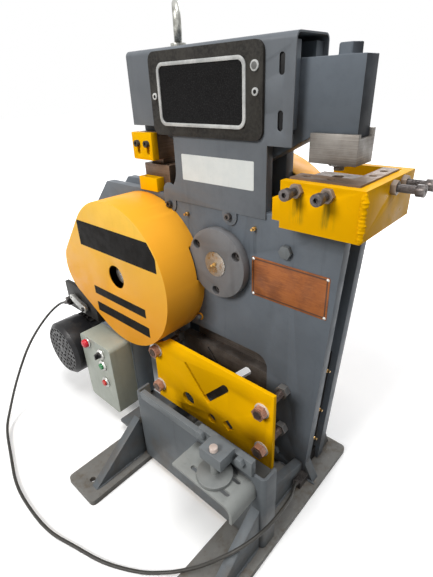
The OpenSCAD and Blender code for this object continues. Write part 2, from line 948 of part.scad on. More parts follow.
// Socket screws of the bearing flange and of the cover tabs
flange_seat = front_y0 - 0.2 * flange_t;
module socket_screws() {
  color("dimgray") {
    for (p = flange_screws)
      socket_screw(p, flange_bore_r - air, flange_seat, front_y0 - flange_seat + stud_depth);
    for (p = cover_screws)
      socket_screw(p, socket_head_r, cover_y0, cover_t + stud_depth);
  }
}

// Round flange that closes the front bearing of the eccentric shaft
shaft_end_r = 0.36 * flange_r;
module bearing_flange() {
  color(plate_grey)
    difference() {
      rod_y(crank, flange_r, front_y0 - flange_t, flange_t);
      rod_y(crank, shaft_end_r + run_fit, front_y0 - flange_t - over, flange_t + 2 * over);
      for (p = flange_screws) {
        rod_y(p, socket_r, front_y0 - flange_t - over, flange_t + 2 * over);
        rod_y(p, flange_bore_r, front_y0 - flange_t - over, flange_seat - front_y0 + flange_t + over);
      }
    }
}

// Pin on which the beam rocks
module pivot_pin() {
  color(bright)
    rod_y(pivot, pin_r, front_y0, rear_y1 - front_y0);
}

// Grease nipples on the front plate and on the nipple bar
nipple_share = [[-0.86, 0.945], [0.71, 0.948]];
nipples = [for (s = nipple_share) [s.x * neck_left * (s.x < 0 ? 1 : neck_right / neck_left), s.y * shoulder_z]];
module grease_nipples() {
  color("darkgoldenrod") {
    for (p = nipples) {
      hex_y(p, nipple_af, front_y0 - nipple_l / 2, nipple_l / 2);
      rod_y(p, nipple_af / 3, front_y0 - nipple_l, nipple_l / 2);
    }
    for (z = edge_nipples) {
      x = right_x(z) - nipple_in;
      hex_x(mid_y, z, nipple_af, x + nipple_af / 20, nipple_l / 2);
      rod_x(mid_y, z, nipple_af / 3, x - over, nipple_l + over);
    }
  }
}

// Lifting eye on the head
eye_turn = 137;
module lifting_eye() {
  color(bright) {
    rod_z(eye_x, mid_y, eye_stem_r, cover_top - cover_t - filler_w / 2, cover_t + filler_w / 2);
    rod_z(eye_x, mid_y, 2 * eye_wire, cover_top, eye_wire);
    translate([eye_x, mid_y, cover_top + eye_r + eye_wire + eye_wire / 2])
      rotate([90, 0, eye_turn])
        rotate_extrude()
          translate([eye_r, 0])
            circle(eye_wire);
  }
}

// Die table open to the left, standing on the plate shoulders
table_left = table_right - table_l;
table_y0 = mid_y - table_d / 2;
table_y1 = mid_y + table_d / 2;
table_top = shoulder_z + table_h;
die_z0 = shoulder_z + table_floor;
screw_z = table_top - 0.16 * table_h;
front_screw_share = [0.22, 0.6];
side_screw_share = [0.5, 0.72];
front_screws = [for (s = front_screw_share) table_left + s * table_l];
side_screws = [for (s = side_screw_share) table_y0 + s * table_d];
module die_table() {
  color(shop_yellow)
    difference() {
      union() {
        block([table_left, table_y0, shoulder_z], [table_right, table_y1, table_top]);
        block([table_left - table_t, table_y0 + 0.1 * table_t, shoulder_z + 0.14 * table_h],
          [table_left, table_y0 + 2 * table_t, shoulder_z + 0.62 * table_h]);
      }
      block([table_left - over, table_y0 + table_t, die_z0],
        [table_right - table_t, table_y1 - table_t, table_top + over]);
      rod_z(punch_x, mid_y, collar_r, shoulder_z - over, table_floor + 2 * over);
      for (x = front_screws)
        rod_y([x, screw_z], clamp_r, table_y0 - over, table_t + 2 * over);
      for (y = side_screws)
        rod_x(y, screw_z, clamp_r, table_right - table_t - over, table_t + 2 * over);
    }
}

// Front bar, side bar and die block inside the table
side_bar_x0 = table_right - table_t - side_bar_w;
bar_top = table_top + die_bar_rise;
die_top = table_top - table_floor / 2;
front_hole_share = [0.23, 0.69];
side_hole_share = [0.49, 0.78];
side_bar_l = 0.76 * table_d;
module die_bars() {
  bar_x0 = table_left + die_bar_hole_r;
  bar_y0 = table_y0 + table_t;
  color(tool_brown) {
    difference() {
      block([bar_x0, bar_y0, die_z0], [side_bar_x0, bar_y0 + die_bar_w, bar_top]);
      for (s = front_hole_share)
        rod_z(bar_x0 + s * (side_bar_x0 - bar_x0), bar_y0 + die_bar_w / 2, die_bar_hole_r,
          die_z0 - over, bar_top - die_z0 + 2 * over);
    }
    difference() {
      block([side_bar_x0, bar_y0, die_z0], [table_right - table_t, bar_y0 + side_bar_l, bar_top]);
      for (s = side_hole_share)
        rod_z(side_bar_x0 + side_bar_w / 2, bar_y0 + s * side_bar_l, die_bar_hole_r,
          die_z0 - over, bar_top - die_z0 + 2 * over);
    }
    difference() {
      block([punch_x - holder_l / 2, bar_y0 + die_bar_w, die_z0],
        [side_bar_x0, mid_y + holder_d / 2, die_top]);
      rod_z(punch_x, mid_y, punch_r + air, die_z0 - over, die_top - die_z0 + 2 * over);
    }
  }
}

// Long clamp screws through the table walls
module clamp_screw(len) {
  difference() {
    union() {
      cylinder(r = clamp_r, h = len);
      translate([0, 0, len - 2 * clamp_r])
        cylinder(r = clamp_head_r, h = 2 * clamp_r);
    }
    translate([0, 0, len - clamp_r])
      cylinder(r = socket_af / sqrt(3), h = clamp_r + over, $fn = 6);
  }
}

module die_screws() {
  color("gray") {
    for (x = front_screws)
      translate([x, table_y0 + table_t, screw_z])
        rotate([90, 0, 0])
          clamp_screw(table_t + front_clamp_l);
    for (y = side_screws)
      translate([table_right - table_t, y, screw_z])
        rotate([0, 90, 0])
          clamp_screw(table_t + clamp_l);
  }
}

// Lock nuts of the clamp screws, and the nuts and washers of the shear studs
shear_back = shear_y + shear_t;
module hex_nuts() {
  color("rosybrown") {
    for (x = front_screws)
      difference() {
        hex_y([x, screw_z], lock_af, table_y0 - lock_t, lock_t);
        rod_y([x, screw_z], clamp_r, table_y0 - lock_t - over, lock_t + 2 * over);
      }
    for (y = side_screws)
      difference() {
        hex_x(y, screw_z, lock_af, table_right, lock_t);
        rod_x(y, screw_z, clamp_r, table_right - over, lock_t + 2 * over);
      }
    for (p = studs)
      difference() {
        union() {
          hex_y(p, nut_af, front_y0 - nut_t, nut_t);
          hex_y(p, nut_af, shear_back, nut_t);
          hex_y(p, nut_af, shear_y - washer_t - nut_t, nut_t);
          rod_y(p, washer_r, shear_y - washer_t, washer_t);
        }
        rod_y(p, stud_r, shear_y - 2 * nut_t, front_y0 - shear_y + 2 * nut_t + over);
      }
  }
}

// Notching station: die, clamp on the plate edge, tool and adjusting plate
notch_x = notch_w / 2 - notch_end;
notch_tool_w = 0.65 * notch_w;
notch_tool_d = 0.62 * notch_w;
notch_tip = notch_low - notch_h;
notch_block_z = notch_tip + 0.26 * notch_w;
notch_die_top = notch_tip + die_bar_rise;
clamp_y0 = front_y0 - plate_t / 5;
clamp_y1 = clamp_y0 + 0.35 * notch_w;
notch_gap = 2.5 * air;
module notch_die() {
  color(tool_brown)
    difference() {
      block([notch_x - 0.59 * notch_w, clamp_y1, shoulder_z],
        [notch_x + 0.79 * notch_w, clamp_y1 + 0.95 * notch_w, notch_die_top]);
      block([notch_x - notch_tool_w / 2 - notch_gap, mid_y - notch_tool_d / 2 - notch_gap, shoulder_z - over],
        [notch_x + notch_tool_w / 2 + notch_gap, mid_y + notch_tool_d / 2 + notch_gap,
          notch_die_top + over]);
      rod_z(notch_x + 0.58 * notch_w, clamp_y1 + 0.2 * notch_w, die_bar_hole_r,
        notch_die_top - 0.4 * notch_w, notch_w);
    }
}

module notch_clamp() {
  color(shop_yellow)
    difference() {
      block([notch_x - 0.56 * notch_w, clamp_y0, shoulder_z],
        [notch_x + 0.44 * notch_w, clamp_y1, shoulder_z + 0.49 * notch_w]);
      rod_z(notch_x - 0.36 * notch_w, clamp_y0 + 0.2 * notch_w, socket_r, shoulder_z + foot_t / 2, notch_w);
    }
}

module notch_tool() {
  color(tool_brown) {
    block([notch_x - 0.46 * notch_w, mid_y - notch_d / 2, notch_block_z],
      [notch_x + 0.46 * notch_w, mid_y + notch_d / 2, notch_low]);
    block([notch_x - notch_tool_w / 2, mid_y - notch_tool_d / 2, notch_tip],
      [notch_x + notch_tool_w / 2, mid_y + notch_tool_d / 2, notch_block_z]);
  }
}

notch_plate_t = 0.27 * notch_w;
notch_screw_z = notch_low - 0.36 * notch_w;
module notch_plate() {
  y1 = mid_y - notch_d / 2;
  color(shop_yellow)
    difference() {
      slab(y1 - notch_plate_t, notch_plate_t)
        difference() {
          translate([notch_x - 0.58 * notch_w, notch_block_z])
            square([1.08 * notch_w, notch_low - notch_block_z]);
          for (side = [-1, 1])
            slot_2d([notch_x + side * 0.26 * notch_w, notch_screw_z - socket_r],
              [notch_x + side * 0.26 * notch_w, notch_screw_z - 4 * socket_r], 2 * socket_r);
        }
    }
  color("dimgray")
    for (side = [-1, 1])
      difference() {
        union() {
          rod_y([notch_x + side * 0.26 * notch_w, notch_screw_z], socket_head_r,
            y1 - notch_plate_t - socket_head_h, socket_head_h);
          rod_y([notch_x + side * 0.26 * notch_w, notch_screw_z], socket_r,
            y1 - notch_plate_t, notch_plate_t);
        }
        hex_y([notch_x + side * 0.26 * notch_w, notch_screw_z], socket_af,
          y1 - notch_plate_t - socket_head_h - over, socket_head_h / 2 + over);
      }
}

// Shear station: openings shared by the front plate and both blades
vee_share = [0.497, 0.383];
round_share = [0.313, 0.256];
rod_share = [0.526, 0.18];
square_share = [0.666, 0.229];
vee_dirs = [47, 130.5];
vee_l = 0.3 * shear_l;
vee_w = [vee_slot_w, 0.35 * vee_slot_w];
function on_shear(s) = [s.x * shear_l - shear_left, shear_low + s.y * shear_h];
module shear_cuts(room = 0) {
  translate(on_shear(vee_share)) {
    rotate(vee_dirs[0]) {
      square([0.85 * vee_l, vee_w[0]]);
      translate([0.85 * vee_l, vee_w[0] / 2])
        circle(vee_w[0] / 2);
    }
    rotate(vee_dirs[1])
      translate([0, -vee_w[1] - room / 4])
        square([vee_l, vee_w[1] + room / 4]);
  }
  translate(on_shear(round_share))
    circle(bar_hole_r + room);
  translate(on_shear(rod_share))
    circle(rod_hole_r + 0.7 * room);
  translate(on_shear(square_share))
    rotate(45)
      square(square_hole + 0.86 * room, center = true);
}

module shear_plate() {
  color(shop_yellow)
    slab(shear_y, shear_t)
      difference() {
        translate([-shear_left, shear_low])
          square([shear_l, shear_h]);
        translate(counter)
          circle(guard_r + head_h);
        for (p = studs)
          translate(p)
            circle(stud_r);
        shear_cuts(guide_room);
      }
}

blade_top = win_high - 1.4 * win_r;
module fixed_blade() {
  color(tool_brown)
    slab(front_y0, plate_t)
      difference() {
        intersection() {
          round_rect([-win_left, win_low], [win_right, win_high], win_r);
          translate([-win_left, win_low])
            square([win_left + win_right, blade_top - win_low]);
        }
        shear_cuts();
      }
}

module shear_studs() {
  color("gray")
    for (p = studs)
      rod_y(p, stud_r, shear_y - washer_t - nut_t - over, front_y0 + stud_depth - shear_y + washer_t
        + nut_t + over);
}

// Sheet guard over the front gear pair, with two fixing lugs
lobe_share = 0.836;
lobe = counter + lobe_share * (drive - counter);
module gear_guard() {
  color("orange") {
    difference() {
      slab(front_y0 - guard_d, guard_d)
        two_circles(counter, guard_r, lobe, lobe_r);
      slab(front_y0 - guard_d + guard_t, guard_d)
        two_circles(counter, guard_r - guard_t, lobe, lobe_r - guard_t);
      rod_y(counter, guard_hole_r, front_y0 - guard_d - over, guard_t + 2 * over);
      rod_y(crank, flange_r + cover_t, front_y0 - flange_t - cover_t, flange_t + cover_t + over);
      slab(cover_y0 - air, cover_t + air + over)
        apron_outline();
    }
    slab(front_y0 - guard_t, guard_t)
      difference() {
        for (p = lugs)
          translate(p)
            circle(head_h);
        translate(counter)
          circle(guard_r - guard_t / 2);
        for (p = lugs)
          translate(p)
            circle(tie_r / 2);
      }
  }
}

// Sheet cover over the rear gear pair
bull_y0 = rear_y1 + head_h;
rear_room = gear_m * 4 / 3;
module rear_cover() {
  d = bull_y0 + gear_w + 2 * head_h - rear_y1;
  color(plate_grey)
    difference() {
      slab(rear_y1, d)
        two_circles(crank, tip_r(bull_z) + rear_room, counter, tip_r(counter_z) + rear_room);
      slab(rear_y1 - over, d - guard_t + over)
        two_circles(crank, tip_r(bull_z) + rear_room - guard_t, counter,
          tip_r(counter_z) + rear_room - guard_t);
    }
}

// Bronze bushes of the three shafts in both plates
module shaft_bushes() {
  color("peru")
    for (s = [[crank, crank_r], [counter, counter_r], [drive, drive_r]], y0 = [front_y0, rear_y0])
      difference() {
        rod_y(s[0], s[1] + run_fit + bush_t, y0, plate_t);
        rod_y(s[0], s[1] + run_fit, y0 - over, plate_t + 2 * over);
      }
}

// Welded hanger for the motor, with the clutch lever stud
hanger_right = slope_x - 1.3 * hanger_t;
hanger_top = hanger_z + hanger_t;
lever_pivot = [-slope_x - 2.4 * hanger_t, hanger_top + 1.5 * hanger_t];
lever_end = lever_pivot + [-4.5 * hanger_t, 1.6 * hanger_t];
lever_t = 0.75 * hanger_t;
stud_pin_r = hanger_t / 2;
lever_y1 = -hanger_t / 2;
module motor_bracket() {
  color(plate_grey) {
    block([-hanger_left, 0, hanger_z], [-hanger_right, front_y0, hanger_top]);
    slab(0, hanger_t)
      polygon([[-hanger_left, hanger_top], [-hanger_right, hanger_top],
        [-hanger_right, hanger_top + 0.4 * hanger_h], [-0.83 * hanger_left, hanger_top + 0.75 * hanger_h],
        [-0.87 * hanger_left, hanger_top + 0.85 * hanger_h],
        [-hanger_left, hanger_top + 0.85 * hanger_h]]);
    slab_x(-hanger_right - hanger_t, hanger_t)
      translate([hanger_t, hanger_top])
        square([front_y0 - hanger_t, 0.4 * hanger_h]);
    rod_y(lever_pivot, stud_pin_r, lever_y1 - lever_t - lever_t / 3, lever_t + lever_t / 3 - lever_y1);
  }
}

// Motor hung under the bracket: ribbed stator with a cavity for the rotor, front cowl, rotor with pulley
stator_y0 = cowl_l - cowl_y;
stator_y1 = stator_y0 + stator_l;
cowl_sheet = 0.25 * cowl_l / 8;
core_r = 0.62 * stator_r;
end_wall = 0.07 * stator_l;
rib_count = 28;
rib_h = 0.08 * stator_r;
module motor_body() {
  color("dimgray") {
    turned(motor, stator_y0)
      polygon([[rotor_r + run_fit, 0], [cowl_r - cowl_sheet, 0], [cowl_r - cowl_sheet, end_wall],
        [stator_r, end_wall], [stator_r, stator_l - end_wall], [stator_r + rib_h, stator_l - end_wall],
        [stator_r + rib_h, stator_l], [rotor_r + run_fit, stator_l],
        [rotor_r + run_fit, stator_l - end_wall], [core_r + air, stator_l - end_wall],
        [core_r + air, end_wall], [rotor_r + run_fit, end_wall]]);
    for (i = [0 : rib_count - 1])
      translate([motor.x, 0, motor.y])
        rotate([0, 360 * i / rib_count, 0])
          block([stator_r - rib_h, stator_y0 + 1.6 * end_wall, -rib_h / 4],
            [stator_r + rib_h, stator_y1 - end_wall / 2, rib_h / 4]);
    block([motor.x - 0.6 * stator_r, stator_y0 + 0.25 * stator_l, motor.y + 0.85 * stator_r],
      [motor.x + 0.6 * stator_r, front_y0, hanger_z]);
  }
}

grille_share = [0.22, 0.42, 0.61, 0.79];
grille_count = 6;
module motor_cowl() {
  hole = 0.055 * cowl_r;
  color("darkslategray")
    difference() {
      turned(motor, -cowl_y)
        polygon([[0, 0], [cowl_r - 5 * cowl_sheet, 0], [cowl_r, 5 * cowl_sheet],
          [cowl_r, cowl_l + end_wall], [cowl_r - cowl_sheet, cowl_l + end_wall],
          [cowl_r - cowl_sheet, 5.4 * cowl_sheet], [cowl_r - 5.4 * cowl_sheet, cowl_sheet],
          [0, cowl_sheet]]);
      for (k = [0 : len(grille_share) - 1], i = [0 : grille_count * (k + 1) - 1])
        rod_y(motor + polar(grille_share[k] * cowl_r, 360 * i / grille_count / (k + 1)), hole,
          -cowl_y - over, cowl_sheet + 2 * over, $fn = 12);
    }
}

wheel_y0 = bull_y0 + foot_t / 7;
wheel_y1 = wheel_y0 + wheel_w;
groove_w = belt_w + 2 * air;
groove_d = belt_t + 2 * air;
belt_mids = [wheel_y0 + 0.3 * wheel_w, wheel_y0 + 0.7 * wheel_w];
fan_count = 9;
module motor_rotor() {
  fan_y0 = stator_y0 - 0.6 * cowl_l;
  color("gray")
    difference() {
      union() {
        rod_y(motor, rotor_r, fan_y0 - end_wall / 2, wheel_y1 - fan_y0 + end_wall / 2);
        rod_y(motor, core_r, stator_y0 + 1.5 * end_wall, stator_l - 3 * end_wall);
        rod_y(motor, 0.8 * cowl_r, fan_y0, end_wall / 3);
        for (i = [0 : fan_count - 1])
          translate([motor.x, 0, motor.y])
            rotate([0, 360 * i / fan_count, 0])
              block([0.3 * cowl_r, fan_y0, -cowl_sheet], [0.8 * cowl_r, fan_y0 + 0.35 * cowl_l,
                cowl_sheet]);
        rod_y(motor, pulley_r, wheel_y0 + 0.06 * wheel_w, 0.88 * wheel_w);
      }
      for (y = belt_mids)
        turned(motor, y - groove_w / 2)
          translate([pulley_r - groove_d, 0])
            square([groove_d + over, groove_w]);
    }
}

// Two belts from the motor pulley to the flywheel
wheel_belt_r = wheel_r - groove_d + air;
pulley_belt_r = pulley_r - groove_d + air;
belt_steps = 48;
function belt_path(r1, r2) = let (d = motor - drive, a = atan2(d.y, d.x), k = acos((r1 - r2) / norm(d)))
  concat([for (i = [0 : belt_steps]) motor + polar(r2, a - k + 2 * k * i / belt_steps)],
    [for (i = [0 : belt_steps]) drive + polar(r1, a + k + (360 - 2 * k) * i / belt_steps)]);
module v_belts() {
  color("black")
    for (y = belt_mids)
      slab(y - belt_w / 2, belt_w)
        difference() {
          polygon(belt_path(wheel_belt_r + belt_t, pulley_belt_r + belt_t));
          polygon(belt_path(wheel_belt_r, pulley_belt_r));
        }
}

// Control box: rear body, deep lid and the fittings on its front
lid_y1 = lid_d - box_front;
box_lo = [-box_left, box_z];
box_hi = box_lo + [box_w, box_h];
box_in = [box_t, box_t];
fitting_share = [[0.27, 0.92], [0.69, 0.86], [0.69, 0.69], [0.69, 0.43]];
fittings = [for (s = fitting_share) box_lo + [s.x * box_w, s.y * box_h]];
stem_r = bezel_r / 3;
bezel_t = bezel_r / 2;
module control_box() {
  color("lightsteelblue")
    difference() {
      slab(lid_y1, box_d)
        round_rect(box_lo, box_hi, box_r);
      slab(lid_y1 - over, box_d - box_t + over)
        round_rect(box_lo + box_in, box_hi - box_in, box_r - box_t);
    }
}

module box_lid() {
  color("lightgray")
    difference() {
      slab(-box_front, lid_d)
        round_rect(box_lo, box_hi, box_r);
      slab(box_t - box_front, lid_d)
        round_rect(box_lo + box_in, box_hi - box_in, box_r - box_t);
      for (p = fittings)
        rod_y(p, stem_r + air, -box_front - over, box_t + 2 * over);
    }
}

module lid_fittings() {
  color("gainsboro") {
    for (i = [1 : 3])
      difference() {
        rod_y(fittings[i], bezel_r, -box_front - bezel_t, bezel_t);
        rod_y(fittings[i], cap_r + air, -box_front - bezel_t - over, bezel_t + 2 * over);
      }
    turned(fittings[0], -box_front)
      polygon([[0, -1.2 * cap_r], [0.6 * cap_r, -1.05 * cap_r], [0.9 * cap_r, -0.7 * cap_r],
        [cap_r, -0.3 * cap_r], [1.2 * cap_r, -0.3 * cap_r], [1.2 * cap_r, 0], [stem_r, 0],
        [stem_r, 2 * bezel_t], [0, 2 * bezel_t]]);
  }
}

module selector() {
  p = fittings[1];
  color("black") {
    rod_y(p, cap_r, -box_front - bezel_t - cap_r / 2, bezel_t + cap_r / 2 - air);
    rod_y(p, stem_r, -box_front - bezel_t, 3 * bezel_t);
    slab(-box_front - bezel_t - 1.6 * cap_r, 1.2 * cap_r)
      slot_2d(p + [0, -0.7 * cap_r], p + [0, 0.7 * cap_r], 0.6 * cap_r);
  }
}

// Push button cap and stem, standing clear of the lid by its stroke
module push_button(p) {
  rod_y(p, cap_r, -box_front - bezel_t - cap_r / 2, cap_r / 2 + bezel_t - button_stroke - air);
  rod_y(p, stem_r, -box_front - bezel_t, 3 * bezel_t);
}

module start_button() {
  color("green")
    push_button(fittings[2]);
}

module stop_button() {
  color("red")
    push_button(fittings[3]);
}

// Clutch cable: route from the hanger, over the floor and the right foot, to the frame
route = [[-735, -18, 355], [-788, -20, 330], [-806, -60, 301], [-798, -125, 259], [-770, -195, 210],
  [-756, -265, 116], [-722, -325, 40], [-660, -370, 12], [-540, -410, 6], [-415, -445, 6], [-305, -455, 6], [-195, -450, 6],
  [-100, -425, 6], [-5, -395, 6], [80, -350, 6], [135, -310, 15], [170, -285, 32], [211, -255, 61],
  [255, -221, 106], [281, -190, 130], [298, -149, 141], [304, -95, 138], [304, -50, 138], [295, 0, 118],
  [276, 45, 85], [258, 90, 50]];
route_last = len(route) - 1;
rings_per_span = 3;
ring_count = route_last * rings_per_span;
cable_sides = 10;
function route_at(i) = route[max(0, min(route_last, i))];
function curve(i, t) = 0.5 * (2 * route_at(i) + t * (route_at(i + 1) - route_at(i - 1))
  + t * t * (2 * route_at(i - 1) - 5 * route_at(i) + 4 * route_at(i + 1) - route_at(i + 2))
  + t * t * t * (3 * route_at(i) - route_at(i - 1) - 3 * route_at(i + 1) + route_at(i + 2)));
function along(k) = curve(min(route_last - 1, floor(k / rings_per_span)),
  k / rings_per_span - min(route_last - 1, floor(k / rings_per_span)));
function unit(v) = v / norm(v);
function heading(k) = unit(along(min(ring_count, k + 0.1)) - along(max(0, k - 0.1)));
function ring(k) = let (h = heading(k), a = unit(cross(h, [0, 0, 1])), b = cross(a, h))
  [for (j = [0 : cable_sides - 1]) along(k) + cable_r * (cos(360 * j / cable_sides) * a
    + sin(360 * j / cable_sides) * b)];
module clutch_cable() {
  points = [for (k = [0 : ring_count]) for (p = ring(k)) p];
  sides = [for (k = [0 : ring_count - 1]) for (j = [0 : cable_sides - 1])
    [k * cable_sides + j, k * cable_sides + (j + 1) % cable_sides,
      (k + 1) * cable_sides + (j + 1) % cable_sides, (k + 1) * cable_sides + j]];
  first = [for (j = [cable_sides - 1 : -1 : 0]) j];
  last = [for (j = [0 : cable_sides - 1]) ring_count * cable_sides + j];
  color("black")
    polyhedron(points, concat(sides, [first, last]));
}

// Ferrules that hold both cable ends
ferrule_r = 1.8 * cable_r;
cable_start = route[0];
cable_end = route[route_last];
module cable_ferrules() {
  start_in = cable_start - 7 * cable_r * heading(0);
  end_in = cable_end + 6 * cable_r * heading(ring_count);
  color("gray") {
    bar_between(cable_start, start_in, ferrule_r);
    block([cable_start.x + cable_r, cable_start.y, cable_start.z - cable_r],
      [cable_start.x + 6 * cable_r, 0, cable_start.z + 5 * cable_r]);
    difference() {
      bar_between(cable_end, end_in, ferrule_r);
      block([end_in.x - 4 * cable_r, end_in.y - 4 * cable_r, foot_t - 4 * cable_r],
        [end_in.x + 4 * cable_r, end_in.y + 4 * cable_r, foot_t]);
      block([0, cable_end.y - 2 * ferrule_r, 0], [foot_x + gusset_t / 2, front_y0, web_h]);
    }
    block([foot_x + gusset_t / 2, cable_end.y + 2 * cable_r, foot_t],
      [foot_x + gusset_t / 2 + 5 * cable_r, front_y0, cable_end.z - cable_r]);
  }
}

// Clutch lever on the hanger stud
module clutch_lever() {
  color("gray")
    slab(lever_y1 - lever_t, lever_t)
      difference() {
        two_circles(lever_pivot, 2 * stud_pin_r, lever_end, 1.5 * stud_pin_r);
        translate(lever_pivot)
          circle(stud_pin_r + run_fit);
        translate(lever_end)
          circle(stud_pin_r / 2);
      }
}

// Pedal at the rear: cross bar with two ears between the feet, and the pedal with its axle
foot_gap = foot_x - foot_w / 2;
pedal_y = rear_y1 + pedal_room;
ear_in = 0.4 * tread_w;
ear_t = 0.1 * tread_w;
axle_r = pedal_z / 7;
module pedal_bracket() {
  color(plate_grey) {
    block([-foot_gap, pedal_y - 2.2 * axle_r, 0], [foot_gap, pedal_y + 2.2 * axle_r, 0.6 * foot_t]);
    for (side = [-1, 1])
      slab_x(side * (ear_in + ear_t / 2) - ear_t / 2, ear_t)
        difference() {
          union() {
            translate([pedal_y - 2.2 * axle_r, 0.6 * foot_t])
              square([4.4 * axle_r, pedal_z - 0.6 * foot_t]);
            translate([pedal_y, pedal_z])
              circle(2.2 * axle_r);
          }
          translate([pedal_y, pedal_z])
            circle(axle_r + run_fit);
        }
  }
}

module pedal() {
  color("dimgray") {
    rod_x(pedal_y, pedal_z, axle_r, -ear_in - 1.5 * ear_t, 2 * ear_in + 3 * ear_t);
    rod_x(pedal_y, pedal_z, 2 * axle_r, -ear_in + ear_t / 2, 2 * ear_in - ear_t);
    block([-ear_t, pedal_y, pedal_z - axle_r / 2], [ear_t, pedal_y + pedal_l, pedal_z + axle_r / 2]);
    block([-tread_w / 2, pedal_y + pedal_l - tread_d, pedal_z],
      [tread_w / 2, pedal_y + pedal_l, pedal_z + 1.5 * axle_r]);
  }
}

// Rocking beam: punch arm on the right, notching arm on the left, tail with the slide block and blade arm below
hub_half = 2.8 * pin_r;
block_half = 1.125 * crank_r;
tail_half = 2.3 * crank_r;
tail_x = crank_x + throw;
arm_left = 0.81 * win_left;
arm_right = 0.82 * win_right;
arm_low = win_low + 0.75 * win_r;
arm_top = win_high + win_r / 2;
slot_side = 0.21 * throw + air;
blade_y0 = front_y1 + air;
moving_z0 = arm_low + head_h;
moving_z1 = win_high - head_h;
module rocker_beam() {
  color(plate_grey)
    difference() {
      slab(beam_y0, beam_t)
        difference() {
          polygon([[ram_right, ram_top], [ram_right, ram_low], [ram_right - ram_w, ram_low],
            [pivot_x + hub_half, pivot_z], [tail_x + tail_half, crank_z + tail_half],
            [tail_x + tail_half, crank_z - tail_half], [arm_right, arm_top], [arm_right, arm_low],
            [-arm_left, arm_low], [-arm_left, arm_top], [tail_x - tail_half, crank_z - tail_half],
            [tail_x - tail_half, crank_z + tail_half], [pivot_x - hub_half, pivot_z],
            [notch_w - notch_end, notch_low], [-notch_end, notch_low],
            [-notch_end, notch_low + notch_h], [pivot_x - hub_half, ram_top]]);
          translate(pivot)
            circle(pin_r + run_fit);
          translate([tail_x - block_half - slot_side, crank_z - block_half - throw - 2 * air])
            square([2 * (block_half + slot_side), 2 * (block_half + throw + 2 * air)]);
          translate([-0.8 * arm_left, moving_z0])
            square([0.8 * (arm_left + arm_right), blade_top - moving_z0]);
        }
      block([-arm_left - over, beam_y0 - over, moving_z0], [arm_right + over, blade_y0 + blade_t, moving_z1]);
    }
  color("gray")
    translate([punch_x, mid_y, ram_top])
      cylinder(r = ram_bolt_af / sqrt(3), h = ram_bolt_h, $fn = 6);
}

module moving_blade() {
  color(tool_brown)
    slab(blade_y0, blade_t)
      difference() {
        translate([-arm_left, moving_z0])
          square([arm_left + arm_right, moving_z1 - moving_z0]);
        shear_cuts();
      }
}

// Punch holder straddling the ram, and the punch under it
holder_z0 = ram_low + holder_groove - holder_h;
module punch_holder() {
  color(tool_brown)
    difference() {
      union() {
        block([punch_x - holder_l / 2, mid_y - holder_d / 2, holder_z0],
          [punch_x + holder_l / 2, mid_y + holder_d / 2, ram_low + holder_groove]);
        block([punch_x - holder_l / 2, beam_y1, ram_low],
          [punch_x + holder_l / 2, mid_y + holder_d / 2, ram_low + 2 * holder_groove]);
      }
      block([punch_x - holder_l, beam_y0, ram_low], [punch_x + holder_l, beam_y1, ram_low + 3 * holder_groove]);
    }
}

module punch() {
  color(bright) {
    rod_z(punch_x, mid_y, punch_r, holder_z0 - punch_l, punch_l);
    rod_z(punch_x, mid_y, collar_r, holder_z0 - 0.4 * punch_l, 0.4 * punch_l);
  }
}

// Eccentric shaft and the block that slides in the beam tail
journal_r = 0.825 * crank_r;
bull_bore_r = 0.9 * crank_r;
journal = crank + [throw, 0];
module eccentric_shaft() {
  color(bright) {
    rod_y(crank, shaft_end_r, front_y0 - flange_t - over, flange_t + plate_t / 2);
    rod_y(crank, crank_r, front_y0 + air, plate_t);
    rod_y(journal, journal_r, front_y1, plate_gap);
    rod_y(crank, crank_r, rear_y0 - air, plate_t + air);
    rod_y(crank, bull_bore_r, rear_y0, bull_y0 + gear_w + head_h / 2 - rear_y0);
  }
}

module slide_block() {
  color("peru")
    slab(beam_y0, beam_t)
      difference() {
        translate(journal)
          square(2 * block_half, center = true);
        translate(journal)
          circle(journal_r + run_fit);
      }
}

// Rear gear pair
module bull_gear() {
  color("gray")
    difference() {
      gear_disc(crank, bull_z, counter_dir, bull_y0, gear_w);
      rod_y(crank, bull_bore_r, bull_y0 - over, gear_w + 2 * over);
      for (i = [0 : 5])
        rod_y(crank + polar(0.6 * gear_r(bull_z), 60 * i), 0.22 * gear_r(bull_z), bull_y0 - over,
          gear_w + 2 * over);
    }
}

big_y0 = front_y0 - 0.63 * guard_d;
module countershaft() {
  color("silver") {
    rod_y(counter, counter_r, front_y0 - 0.86 * guard_d, bull_y0 + gear_w + head_h / 2
      - front_y0 + 0.86 * guard_d);
    gear_disc(counter, counter_z, counter_dir + 180 + 180 / counter_z, bull_y0 - over, gear_w + 2 * over);
    rod_y(counter, 1.8 * counter_r, big_y0 + gear_w + air, guard_d / 6);
  }
}

// Front gear pair and the flywheel on the drive shaft
module big_gear() {
  color("gray")
    difference() {
      gear_disc(counter, big_z, drive_dir, big_y0, gear_w);
      rod_y(counter, counter_r + run_fit, big_y0 - over, gear_w + 2 * over);
      for (i = [0 : 5])
        rod_y(counter + polar(0.6 * gear_r(big_z), 60 * i + 30), 0.2 * gear_r(big_z), big_y0 - over,
          gear_w + 2 * over);
    }
}

module drive_shaft() {
  color("silver") {
    rod_y(drive, drive_r, big_y0 - 0.4 * gear_w, wheel_y1 - big_y0 + 0.4 * gear_w);
    gear_disc(drive, drive_z, drive_dir + 180 + 180 / drive_z, big_y0 - over, gear_w + 2 * over);
  }
}

